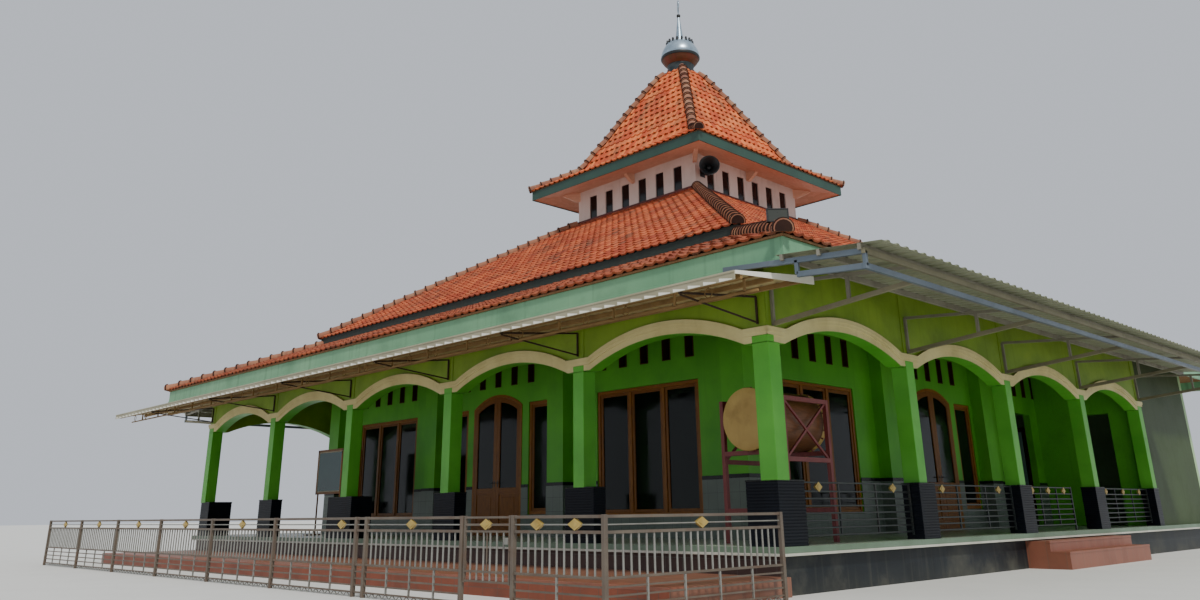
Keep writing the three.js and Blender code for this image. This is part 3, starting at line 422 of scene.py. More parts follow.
class Nodes:
    """A node tree in the making."""

    def __init__(self, tree: bpy.types.NodeTree) -> None:
        """Works on a tree that it empties first."""
        self.tree = tree
        tree.nodes.clear()

    def add(self, kind: str, values: dict[str | int, object] | None = None,
            **settings: object) -> bpy.types.Node:
        """Adds a node.

        Args:
            kind: The node's type, without its ShaderNode prefix.
            values: Values or sockets for its inputs, by name or number.
            **settings: Its own settings.

        Returns:
            The node.
        """
        node = self.tree.nodes.new("ShaderNode" + kind)
        for key, value in settings.items():
            setattr(node, key, value)
        self.set(node, values or {})
        return node

    def set(self, node: bpy.types.Node, values: dict[str | int, object]) -> None:
        """Gives a node's inputs what they say or read.

        Args:
            node: The node.
            values: Values or sockets for its inputs, by name or number.
        """
        for key, value in values.items():
            if isinstance(value, bpy.types.NodeSocket):
                self.tree.links.new(value, node.inputs[key])
            else:
                node.inputs[key].default_value = value

    def maths(self, operation: str, *values: object, clamp: bool = False) -> Socket:
        """The answer of an operation on numbers or sockets, kept between nought and one if clamped."""
        return self.add("Math", dict(enumerate(values)), operation=operation, use_clamp=clamp).outputs[0]

    def mix(self, factor: object, first: object, second: object) -> Socket:
        """A blend of two colours; the factor says how much of the second."""
        return self.add("Mix", {0: factor, 6: first, 7: second}, data_type="RGBA").outputs[2]

    def tones(self, factor: object, first: str, second: str) -> Socket:
        """A blend of two screen colours; the factor says how much of the second."""
        return self.mix(factor, linear(first), linear(second))

    def spread(self, value: object, low: float, high: float, to_low: float = 0.0,
               to_high: float = 1.0) -> Socket:
        """A number between low and high, stretched over another range."""
        return self.add("MapRange", {0: value, 1: low, 2: high, 3: to_low, 4: to_high}).outputs[0]

    def place(self) -> Socket:
        """Where a point of the piece lies."""
        return self.add("TexCoord").outputs["Object"]

    def noise(self, scale: object, detail: float = 3.0, vector: object = None, rough: float = 0.5) -> Socket:
        """Cloudy values.

        Args:
            scale: How many clouds a metre has.
            detail: How many finer layers there are.
            vector: The place to read at, or the piece's own.
            rough: The strength of the finer layers.

        Returns:
            The value's socket.
        """
        where = self.place() if vector is None else vector
        values = {"Vector": where, "Scale": scale, "Detail": detail, "Roughness": rough}
        return self.add("TexNoise", values).outputs[0]


def group(name: str, inputs: dict[str, object], outputs: Sequence[str],
          fill: Callable[[Nodes, dict], dict[str, Socket]]) -> bpy.types.NodeTree:
    """A node group that several finishes share.

    Args:
        name: Its name.
        inputs: Each input's value, a number or a vector.
        outputs: Its outputs, all numbers.
        fill: What puts the nodes in and gives each output's socket.

    Returns:
        The group.
    """
    found = bpy.data.node_groups.get(name)
    if found:
        return found
    tree = bpy.data.node_groups.new(name, "ShaderNodeTree")
    for label, value in inputs.items():
        kind = "NodeSocketVector" if isinstance(value, tuple) else "NodeSocketFloat"
        tree.interface.new_socket(label, in_out="INPUT", socket_type=kind).default_value = value
    for label in outputs:
        tree.interface.new_socket(label, in_out="OUTPUT", socket_type="NodeSocketFloat")
    nodes = Nodes(tree)
    start = tree.nodes.new("NodeGroupInput")
    end = tree.nodes.new("NodeGroupOutput")
    for label, socket in fill(nodes, {k: start.outputs[k] for k in inputs}).items():
        tree.links.new(socket, end.inputs[label])
    return tree


def weather_group() -> bpy.types.NodeTree:
    """Dirt that gathers low down, in clouds and in streaks that run down.

    Returns:
        The node group.
    """
    def fill(nodes: Nodes, given: dict) -> dict[str, Socket]:
        """Puts the nodes in.

        Args:
            nodes: The group's tree.
            given: The group's inputs, by name.

        Returns:
            The socket for each output.
        """
        place = nodes.place()
        parts = nodes.add("SeparateXYZ", {0: place})
        stretched = nodes.add("Mapping", {"Vector": place, "Scale": (9.0, 9.0, 0.45)})
        streaks = nodes.noise(1.0, 4.0, stretched.outputs[0])
        clouds = nodes.noise(given["Scale"], 5.0, rough=0.62)
        low = nodes.maths("SUBTRACT", given["Foot"], parts.outputs[2])
        splash = nodes.maths("DIVIDE", low, 0.45, clamp=True)
        splashed = nodes.maths("MULTIPLY", splash, nodes.spread(clouds, 0.3, 0.65))
        cloudy = nodes.spread(clouds, 0.52, 0.78)
        streaky = nodes.maths("MULTIPLY", nodes.spread(streaks, 0.55, 0.78), given["Streaks"])
        total = nodes.maths("ADD", nodes.maths("MAXIMUM", cloudy, streaky), splashed, clamp=True)
        return {"Dirt": nodes.maths("MULTIPLY", total, given["Amount"], clamp=True)}
    inputs = {"Scale": 1.5, "Amount": 0.5, "Streaks": 1.0, "Foot": -1.0}
    return group("weathering", inputs, ["Dirt"], fill)


def grid_group() -> bpy.types.NodeTree:
    """Laid tiles: their joints, and a tone for each tile.

    Returns:
        The node group.
    """
    def fill(nodes: Nodes, given: dict) -> dict[str, Socket]:
        """Puts the nodes in.

        Args:
            nodes: The group's tree.
            given: The group's inputs, by name.

        Returns:
            The socket for each output.
        """
        x, y, z = nodes.add("SeparateXYZ", {0: nodes.place()}).outputs
        along = nodes.maths("ADD", x, nodes.maths("MULTIPLY", y, given["Upright"]))
        upright = nodes.maths("MULTIPLY", z, given["Upright"])
        flat = nodes.maths("MULTIPLY", y, nodes.maths("SUBTRACT", 1.0, given["Upright"]))
        across = nodes.maths("ADD", upright, flat)
        shifted = nodes.add("CombineXYZ", {0: nodes.maths("ADD", along, 50.0),
                                           1: nodes.maths("ADD", across, given["Lift"])})
        values = {"Vector": shifted.outputs[0], "Color1": (0, 0, 0, 1), "Color2": (1, 1, 1, 1),
                  "Scale": 1.0, "Mortar Size": given["Joint"], "Mortar Smooth": 0.1,
                  "Brick Width": given["Width"], "Row Height": given["Height"]}
        brick = nodes.add("TexBrick", values, offset=0.0, squash=1.0)
        tone = nodes.add("RGBToBW", {0: brick.outputs["Color"]}).outputs[0]
        return {"Joint": brick.outputs["Fac"], "Tone": tone}
    inputs = {"Width": 0.3, "Height": 0.3, "Joint": 0.003, "Upright": 0.0, "Lift": 50.0}
    return group("laid_tiles", inputs, ["Joint", "Tone"], fill)


def grain_group() -> bpy.types.NodeTree:
    """The figure of sawn wood, long along one axis.

    Returns:
        The node group.
    """
    def fill(nodes: Nodes, given: dict) -> dict[str, Socket]:
        """Puts the nodes in.

        Args:
            nodes: The group's tree.
            given: The group's inputs, by name.

        Returns:
            The socket for each output.
        """
        long = nodes.add("Mapping", {"Vector": nodes.place(), "Scale": given["Stretch"]}).outputs[0]
        broad = nodes.noise(1.0, 3.0, long)
        rings = nodes.maths("FRACT", nodes.maths("MULTIPLY", broad, 7.0))
        fine = nodes.noise(6.0, 4.0, long, 0.7)
        figure = nodes.maths("MULTIPLY", rings, 0.45)
        return {"Grain": nodes.maths("ADD", figure, nodes.maths("MULTIPLY", fine, 0.55))}
    return group("wood_grain", {"Stretch": (14.0, 14.0, 1.2)}, ["Grain"], fill)


@dataclass(frozen=True)
class Finish:
    """A surface of one colour with a second one worn into it."""

    name: str
    colour: str
    second: str
    slot: str = ""
    rough: float = 0.6
    metal: float = 0.0
    dirt: float = 0.35
    soil: str = "4A4438"
    clouds: float = 1.6
    streaks: float = 0.6
    foot: float = -1.0
    fine: float = 40.0
    bump: float = 0.12
    relief: float = 0.004
    coat: float = 0.0
    shine: float = 0.5

    def material(self) -> bpy.types.Material:
        """This finish's material, made the first time that it is asked for.

        Returns:
            The material.
        """
        title = f"{self.name}_finish"
        found = bpy.data.materials.get(title)
        if found:
            return found
        made = bpy.data.materials.new(title)
        made.use_nodes = True
        nodes = Nodes(made.node_tree)
        shader = nodes.add("BsdfPrincipled")
        self.fill(nodes, shader)
        nodes.add("OutputMaterial", {"Surface": shader.outputs[0]})
        return made

    def pattern(self, nodes: Nodes) -> tuple[Socket, Socket]:
        """The colour and the relief before dirt.

        Args:
            nodes: The material's tree.

        Returns:
            The sockets of the colour and of the height.
        """
        broad = nodes.spread(nodes.noise(self.clouds * 0.7, 4.0), 0.35, 0.68)
        fine = nodes.noise(self.fine, 3.0)
        return nodes.tones(broad, self.colour, self.second), fine

    def fill(self, nodes: Nodes, shader: bpy.types.Node) -> None:
        """Joins colour, dirt, roughness and relief to a material's shader.

        Args:
            nodes: The material's tree.
            shader: Its shader.
        """
        colour, height = self.pattern(nodes)
        weather = {"Scale": self.clouds, "Amount": self.dirt, "Streaks": self.streaks, "Foot": self.foot}
        dirt = nodes.add("Group", weather, node_tree=weather_group()).outputs["Dirt"]
        worn = nodes.mix(dirt, colour, linear(self.soil))
        rough = nodes.maths("ADD", nodes.maths("MULTIPLY", dirt, 0.3), self.rough, clamp=True)
        uneven = nodes.maths("MULTIPLY", nodes.maths("SUBTRACT", height, 0.5), 0.12)
        uneven_rough = nodes.maths("ADD", rough, uneven, clamp=True)
        bump = nodes.add("Bump", {"Strength": self.bump, "Distance": self.relief, "Height": height})
        nodes.set(shader, {"Base Color": worn, "Roughness": uneven_rough, "Normal": bump.outputs[0],
                           "Metallic": self.metal, "Coat Weight": self.coat,
                           "Specular IOR Level": self.shine})


@dataclass(frozen=True)
class EndWallFinish(Finish):
    """Plaster of one colour on a side's outer face, a dark olive that is painted shade, and of another one
    under the veranda's roof.
    """

    outer_face: float = PLAN.half_x - 0.01
    sheltered: str = "57B61C"
    sheltered_second: str = "45A012"

    def pattern(self, nodes: Nodes) -> tuple[Socket, Socket]:
        """The colour and the relief of both paints; the outer face's colour is painted shade.

        Args:
            nodes: The material's tree.

        Returns:
            The sockets of the colour and of the height.
        """
        outer, fine = super().pattern(nodes)
        inner = nodes.tones(fine, self.sheltered, self.sheltered_second)
        out = nodes.maths("ABSOLUTE", nodes.add("SeparateXYZ", {0: nodes.place()}).outputs[0])
        # The outer face gets the dark painted shade; the sheltered part gets the veranda's green.
        return nodes.mix(nodes.maths("LESS_THAN", out, self.outer_face), outer, inner), fine


@dataclass(frozen=True)
class TiledFinish(Finish):
    """Laid tiles with joints."""

    width: float = 0.3
    height: float = 0.3
    joint: float = 0.003
    grout: str = "55554F"
    upright: bool = False

    def pattern(self, nodes: Nodes) -> tuple[Socket, Socket]:
        """The colour and the relief of the tiles and their joints.

        Args:
            nodes: The material's tree.

        Returns:
            The sockets of the colour and of the height.
        """
        sizes = {"Width": self.width, "Height": self.height, "Joint": self.joint,
                 "Upright": float(self.upright)}
        laid = nodes.add("Group", sizes, node_tree=grid_group()).outputs
        clouds = nodes.spread(nodes.noise(self.clouds * 2, 3.0), 0.3, 0.7)
        tone = nodes.maths("MULTIPLY", nodes.maths("ADD", laid["Tone"], clouds), 0.5)
        colour = nodes.tones(tone, self.colour, self.second)
        joined = nodes.mix(laid["Joint"], colour, linear(self.grout))
        return joined, nodes.maths("SUBTRACT", 1.0, laid["Joint"])


@dataclass(frozen=True)
class WoodFinish(Finish):
    """Varnished or painted wood with its grain."""

    stretch: Point = (14.0, 14.0, 1.2)

    def pattern(self, nodes: Nodes) -> tuple[Socket, Socket]:
        """The colour and the relief of the grain."""
        grain = nodes.add("Group", {"Stretch": self.stretch}, node_tree=grain_group()).outputs["Grain"]
        return nodes.tones(nodes.spread(grain, 0.25, 0.75), self.colour, self.second), grain


@dataclass(frozen=True)
class ClayFinish(Finish):
    """Clay roof tiles, each fired to a tone of its own and weathered."""

    slot: str = "roof_tile"
    streaks: float = 0.9
    bump: float = 0.3
    third: str = "5A382C"
    bleached: str = "D9A070"

    def pattern(self, nodes: Nodes) -> tuple[Socket, Socket]:
        """The colour and the relief of the tiles.

        Args:
            nodes: The material's tree.

        Returns:
            The sockets of the colour and of the height.
        """
        tone = nodes.add("Attribute", attribute_name="tone").outputs["Fac"]
        clouds = nodes.noise(0.9, 4.0)
        fine = nodes.noise(26.0, 4.0, rough=0.65)
        base = nodes.tones(nodes.spread(tone, 0.1, 0.9), self.colour, self.second)
        old = nodes.maths("MULTIPLY", nodes.spread(clouds, 0.5, 0.72), nodes.spread(fine, 0.35, 0.62))
        grown = nodes.mix(nodes.maths("MULTIPLY", old, 0.75), base, linear(self.third))
        rare = nodes.maths("MULTIPLY", nodes.spread(tone, 0.86, 0.98), 0.7)
        aged = nodes.mix(rare, grown, linear(self.third))
        pale = nodes.maths("MULTIPLY", nodes.spread(fine, 0.56, 0.75), 0.4)
        return nodes.mix(pale, aged, linear(self.bleached)), fine


@dataclass(frozen=True)
class GlassFinish(Finish):
    """Clear window glass in front of a dim room."""

    def fill(self, nodes: Nodes, shader: bpy.types.Node) -> None:
        """Sets a material's shader for thin glass.

        Args:
            nodes: The material's tree.
            shader: Its shader.
        """
        smear = nodes.spread(nodes.noise(3.0, 4.0), 0.35, 0.75, self.rough, self.rough + 0.12)
        tint = nodes.spread(nodes.noise(1.2, 2.0), 0.3, 0.7)
        nodes.set(shader, {"Roughness": smear, "Base Color": nodes.tones(tint, self.colour, self.second),
                           "Metallic": 0.0, "Transmission Weight": 0.82, "IOR": 1.3})


ACROSS = (1.2, 1.2, 16.0)


class Paint:
    """The finishes of the building."""

    GREEN = Finish("green_plaster", "57B61C", "45A012", rough=0.5, dirt=0.22, soil="2C4A1C", foot=0.9,
                   bump=0.1)
    COLUMN = Finish("column_paint", "5AB630", "4AA622", "green_plaster", rough=0.42, dirt=0.2, soil="3A5A24",
                    clouds=2.4, bump=0.1)
    OLIVE = Finish("olive_plaster", "7FA02A", "6A8C20", "green_plaster", rough=0.55, dirt=0.3, soil="3E4A1C",
                   clouds=2.0)
    CREAM = Finish("cream_band", "D9CF96", "C6BA80", "green_plaster", rough=0.5, dirt=0.25, soil="8A7A50",
                   clouds=2.5)
    SOFFIT_GREEN = Finish("pale_plaster", "A4C494", "93B584", dirt=0.3, soil="56683E", foot=1.0, clouds=1.1)
    # The outer colours are painted shade: the sides' pale plaster darkened as if under the canopy.
    END_WALL_AND_SHADE = EndWallFinish("end_wall_plaster_and_painted_shade", "33461C", "2C3D18", "pale_plaster", soil="2C3820", foot=1.0,
                             clouds=1.1)
    DADO = TiledFinish("dado_tile", "667268", "57645A", "plinth_tile", rough=0.3, dirt=0.2, foot=0.7,
                       width=0.2, height=0.25, joint=0.002, grout="3E4444", upright=True)
    CAP = Finish("black_cap", "0C0E10", "121416", "plinth_tile", rough=0.28, dirt=0.2, soil="34342F",
                 shine=0.3)
    RIB = Finish("ribbed_tile", "090D15", "10151E", "plinth_tile", rough=0.34, dirt=0.15, soil="20262C",
                 clouds=4.0, foot=0.7, shine=0.15)
    PLINTH = TiledFinish("plinth_tile", "12181C", "1B2228", rough=0.42, dirt=0.4, soil="6E6C5E", foot=0.25,
                         clouds=1.1, shine=0.25, width=0.4, height=0.25, joint=0.002, grout="0C1014",
                         upright=True)
    # The terrace's tile made dark red-brown: painted shade on the riser under the canopy.
    FRONT_RISER_SHADE = TiledFinish("front_riser_painted_shade", "4A3028", "3E2822", "terrace_tile", rough=0.4, dirt=0.3,
                               soil="6E6258", foot=0.35, upright=True)
    FLOOR = TiledFinish("floor_tile", "A9B4A2", "98A694", "slab_edge", rough=0.28, dirt=0.25, soil="5E6054",
                        grout="6C7468")
    EDGE = Finish("slab_edge", "6A806C", "5E745E", rough=0.5, soil="4E564A")
    WHITE_LINE = Finish("white_line", "C8C8BC", "B6B6A8", "slab_edge", rough=0.5, dirt=0.3, soil="6A6658")
    TERRACE = TiledFinish("terrace_tile", "8A5E4A", "784E3C", rough=0.42, soil="5C4A40", joint=0.004,
                          grout="5E4A3E")
    TERRACE_FACE = TiledFinish("terrace_face_tile", "86442C", "743822", "terrace_tile", rough=0.45,
                               soil="4C3A30", foot=0.2, joint=0.004, grout="5A4438", upright=True)
    TREAD = TiledFinish("tread_tile", "8E5844", "7C4A38", "terrace_tile", rough=0.4, dirt=0.3, soil="5A4638",
                        joint=0.004, grout="6E5646")
    CLAY = ClayFinish("clay_tile", "BA4A20", "E07C42", rough=0.8, dirt=0.3, soil="4A3424", clouds=1.3)
    OLD_CLAY = ClayFinish("old_clay_tile", "963A1C", "BE6238", rough=0.88, dirt=0.45, soil="40342A",
                          clouds=1.1, third="4C342A", bleached="E0A070")
    LOWER_CLAY = ClayFinish("lower_clay_tile", "84361A", "A25430", rough=0.9, dirt=0.6, soil="332A22",
                            clouds=1.1, third="3C2A22", bleached="C08A60")
    RIDGE = Finish("ridge_tile", "A06C50", "7E5040", "roof_tile", rough=0.9, dirt=0.55, soil="B8A080",
                   clouds=2.5, bump=0.35)
    # Dark discs and rings at the caps' ends and joints: painted shade.
    RIDGE_JOINT_SHADE = Finish("ridge_joint_painted_shade", "38241E", "2C1C18", "roof_tile", rough=0.9, dirt=0.3, soil="4A382E",
                       clouds=6.0, shine=0.2)
    UNDER_ROOF = WoodFinish("roof_boards", "8E6844", "765436", "roof_tile", rough=0.75, dirt=0.3)
    # A dark green board darkened towards black: partly its paint, partly painted shade under the middle
    # roof's eaves.
    DARK_BAND_AND_SHADE = WoodFinish("eave_band_and_painted_shade", "22302A", "1A2520", "fascia_paint", rough=0.7,
                           stretch=(1.2, 1.2, 10.0))
    # Dark panes are painted shade standing in for the dim inside of the lantern's openings.
    SHADE_PANE = Finish("painted_shade_pane", "0C0E12", "08090C", "window_glass", rough=0.12, dirt=0.3, soil="24262A",
                       shine=0.4)
    FASCIA = Finish("fascia_paint", "78AA84", "669A76", rough=0.5, dirt=0.5, soil="3E6450", clouds=1.0,
                    streaks=1.0)
    UPPER_FASCIA = Finish("upper_fascia_paint", "2A4C40", "244238", "fascia_paint", rough=0.5, dirt=0.4,
                          soil="2A3C34", clouds=1.4)
    LANTERN = Finish("lantern_paint", "D8C8C0", "CAB8AE", soil="7E6A60", clouds=1.4, streaks=1.0)
    SALMON = WoodFinish("soffit_paint", "DFB49A", "D4A68A", rough=0.65, dirt=0.2, soil="8A5C46",
                        stretch=(1.0, 1.0, 9.0))
    FLASHING = Finish("flashing", "642420", "541C1A", "roof_tile", dirt=0.4)
    SPUN = Finish("spun_metal", "B4C6D2", "94A8B6", "bare_metal", rough=0.3, metal=0.85, soil="3C444A",
                  clouds=6.0)
    OLD_METAL = Finish("old_metal", "4A5254", "30383A", "bare_metal", rough=0.42, metal=0.7, dirt=0.45,
                       soil="22282A", clouds=7.0)
    RUSTED = Finish("rusted_metal", "6E3220", "5A3A1C", "bare_metal", rough=0.55, metal=0.45, dirt=0.45,
                    soil="2E2A1A", clouds=6.0)
    HORN = Finish("horn_metal", "2A2E30", "222628", rough=0.45, metal=0.3, dirt=0.3)
    HORN_INSIDE = Finish("horn_inside", "1A1D20", "141719", "horn_metal", rough=0.5, metal=0.2, dirt=0.2)
    LAMP_FACE = Finish("lamp_face", "383C36", "30342E", "horn_metal", rough=0.3, dirt=0.3)
    REFLECTOR = Finish("reflector", "D4D6D4", "C2C6C6", "bare_metal", rough=0.2, metal=0.6, dirt=0.1)
    LINING = WoodFinish("vent_lining", "4A2A08", "381F06", "dark_wood", dirt=0.3, soil="1A0F08", shine=0.2)
    WOOD = WoodFinish("dark_wood", "98600E", "76460A", rough=0.42, dirt=0.2, soil="2E1A0E", coat=0.05,
                      shine=0.3)
    WOOD_ACROSS = replace(WOOD, name="dark_wood_across", slot="dark_wood", stretch=ACROSS)
    DOOR = WoodFinish("door_wood", "86520A", "6C3E08", rough=0.42, dirt=0.15, soil="2E1A0A", coat=0.05,
                      shine=0.3)
    DOOR_ACROSS = replace(DOOR, name="door_wood_across", slot="door_wood", stretch=ACROSS)
    GLASS = GlassFinish("window_glass", "2C3A30", "222E28", rough=0.03)
    SHEET = Finish("canopy_sheet", "989C82", "868B70", rough=0.45, metal=0.35, dirt=0.4, soil="5A5240",
                   clouds=0.8, streaks=0.8)
    FRONT_SHEET = Finish("front_canopy_sheet", "B8A878", "A29264", "canopy_sheet", rough=0.55, metal=0.1,
                         dirt=0.4, soil="5E5034", clouds=0.9)
    LIP = Finish("canopy_lip", "A6A086", "948E74", "canopy_sheet", rough=0.5, soil="6A6450", clouds=1.5)
    LIP_WHITE = Finish("canopy_lip_white", "F0EEE0", "E2E0D0", "canopy_sheet", rough=0.4, dirt=0.12,
                       soil="98927E")
    PURLIN = Finish("purlin_steel", "927446", "7E6238", rough=0.7, metal=0.1, soil="3A2A16", clouds=3.0)
    DARK_STEEL = Finish("bracket_steel", "3A2616", "2E1E12", "purlin_steel", metal=0.2, dirt=0.3,
                        soil="1E140C", clouds=3.0)
    PALE_STEEL = Finish("light_steel", "68747E", "58646E", rough=0.42, metal=0.25, soil="5A564E", clouds=2.4)
    BEIGE_STEEL = Finish("beige_steel", "868068", "747058", "light_steel", rough=0.5, metal=0.2, dirt=0.4,
                         soil="4E4636", clouds=2.4)
    BRACE_STEEL = Finish("brace_steel", "8E8A7C", "7E7A6C", "light_steel", rough=0.5, metal=0.25, dirt=0.45,
                         soil="463C32", clouds=3.0)
    FENCE = Finish("fence_bar", "8E8E88", "7C7C76", "grey_steel", rough=0.45, metal=0.3, dirt=0.4,
                   soil="5A4636", clouds=5.0, foot=0.2)
    FENCE_POST = Finish("fence_post", "6E6458", "5C5248", "grey_steel", rough=0.55, metal=0.25, dirt=0.5,
                        soil="6A3E22", clouds=4.0, foot=0.2)
    RAIL = Finish("rail_steel", "303736", "272D2C", "grey_steel", rough=0.42, metal=0.4, soil="5A5244",
                  clouds=4.0)
    GOLD = Finish("gold_paint", "BEA45C", "A88E48", rough=0.4, metal=0.3, dirt=0.3, soil="5A4418", clouds=9.0)
    DRUM = WoodFinish("drum_wood", "7A4A26", "5E381C", rough=0.5, dirt=0.3, stretch=(12.0, 1.2, 12.0))
    HIDE = Finish("drum_hide", "C4A65E", "B0904C", "drum_wood", rough=0.55, dirt=0.5, soil="6E5228",
                  clouds=3.0)
    STAND = WoodFinish("stand_paint", "7E3230", "6C2A28", "stand_wood", rough=0.48, soil="361816")
    BOARD = Finish("board_face", "1E4A48", "183E3E", rough=0.22, dirt=0.2, soil="2E4846")
    PAPER = Finish("bare_sheet", "A8B6C2", "98A6B4", "board_face", dirt=0.2, soil="6E7680")
    BOARD_DARK = Finish("board_back", "23262E", "1C1F26", "board_face", rough=0.45, dirt=0.3, soil="34343A")
    STUDIO = Finish("studio_floor", "D6D6D2", "D2D2CE", rough=0.9, dirt=0.0, bump=0.0)


VARNISHED = (Paint.WOOD, Paint.WOOD_ACROSS)
GOLDEN = (Paint.DOOR, Paint.DOOR_ACROSS)


class Dresser:
    """Gives the frame's own nodes their finishes."""

    NODES: dict[str, Finish] = {
        "plinth": Paint.PLINTH,
        "floor_slab": Paint.FLOOR,
        "front_terrace": Paint.TERRACE,
        "side_steps": Paint.TREAD,
        "right_end_wall": Paint.END_WALL_AND_SHADE,
        "left_end_wall": Paint.END_WALL_AND_SHADE,
        "back_wall": Paint.SOFFIT_GREEN,
        "lantern_walls": Paint.LANTERN,
        "upper_eaves": Paint.SALMON,
        "right_canopy_frame": Paint.BRACE_STEEL,
        "left_canopy_frame": Paint.BRACE_STEEL,
        "drum_stand": Paint.STAND,
        "fence_gate": Paint.FENCE_POST,
        "mid_roof": Paint.DARK_BAND_AND_SHADE,
        "upper_roof": Paint.UNDER_ROOF,
    }

    def build(self) -> None:
        """Puts a finish on every node."""
        for name, node in frame["nodes"].items():
            material = self.finish_of(name).material()
            for slot in node.material_slots:
                slot.material = material

    def finish_of(self, name: str) -> Finish:
        """The finish of one node.

        Args:
            name: The node's name.

        Returns:
            The finish.
        """
        if name.startswith("lower_roof"):
            return Paint.UNDER_ROOF
        if "canopy_sheet" in name:
            return Paint.SHEET
        return self.NODES.get(name, Paint.GREEN)


@dataclass
class BaseTrim:
    """What trims the floor slab, the terrace and the steps."""

    thick: float = 0.012
    line: float = 0.02
    lift: float = 0.004
    terrace_depth: float = 2.15
    terrace: float = 0.22
    tread: float = 0.3
    tread_tops: tuple[float, ...] = (0.43, 0.27)
    nosing: float = 0.035
    nosing_lift: float = 0.006
    nosing_wide: float = 0.05
    nosing_out: float = 0.008

    def build(self) -> None:
        """Builds the slab's painted edge with the white line under it, the tiled faces and the nosings; the
        upper tiled face is dark with painted shade.
        """
        foot = PLAN.floor - PLAN.slab
        self.edges("slab_edge", foot + self.line, PLAN.floor + self.lift, self.thick, Paint.EDGE)
        self.edges("white_line", foot - self.thick, foot + self.line, self.thick + self.lift,
                   Paint.WHITE_LINE)
        riser, face = Shape(), Shape()
        # The riser's dark tile is painted shade.
        riser.box((-PLAN.half_x, -PLAN.half_y - self.thick, self.terrace),
                  (PLAN.half_x, -PLAN.half_y, foot - self.thick))
        riser.piece("front_riser", Paint.FRONT_RISER_SHADE)
        low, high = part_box("front_terrace")
        face.box((low.x + HAIR, low.y - self.thick / 2, 0.0),
                 (high.x - HAIR, low.y, self.terrace - self.nosing))
        face.piece("terrace_face", Paint.TERRACE_FACE)
        self.nosings()

    def edges(self, name: str, low: float, high: float, thick: float, finish: Finish) -> None:
        """Strips along the slab's front and sides.

        Args:
            name: The piece's name.
            low: Their lower edge over the ground.
            high: Their upper edge over the ground.
            thick: Their thickness.
            finish: Their surface.
        """
        shape = Shape()
        x, y = PLAN.half_x + PLAN.slab_out, PLAN.half_y + PLAN.slab_out
        shape.box((-x - thick, -y - thick, low), (x + thick, -y, high), SOFT)
        for near, far in ((-x - thick, -x), (x, x + thick)):
            shape.box((near, -y, low), (far, PLAN.half_y, high), SOFT)
        shape.piece(name, finish)

    def nosings(self) -> None:
        """The lighter edge tiles of the terrace and the steps."""
        shape = Shape()
        front = -PLAN.half_y - self.terrace_depth
        right = PLAN.half_x + PLAN.slab_out
        shape.box((-PLAN.half_x, front - self.nosing_out, self.terrace - self.nosing),
                  (right + self.lift, front + self.tread, self.terrace + self.nosing_lift), BLUNT)
        low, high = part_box("side_steps")
        for index, top in enumerate(self.tread_tops):
            out = right + (index + 1) * self.tread
            shape.box((out - self.nosing_wide, low.y - self.lift, top - self.nosing),
                      (out + self.nosing_lift, high.y + self.lift, top + self.nosing_lift), BLUNT)
        shape.piece("step_nosings", Paint.TREAD)


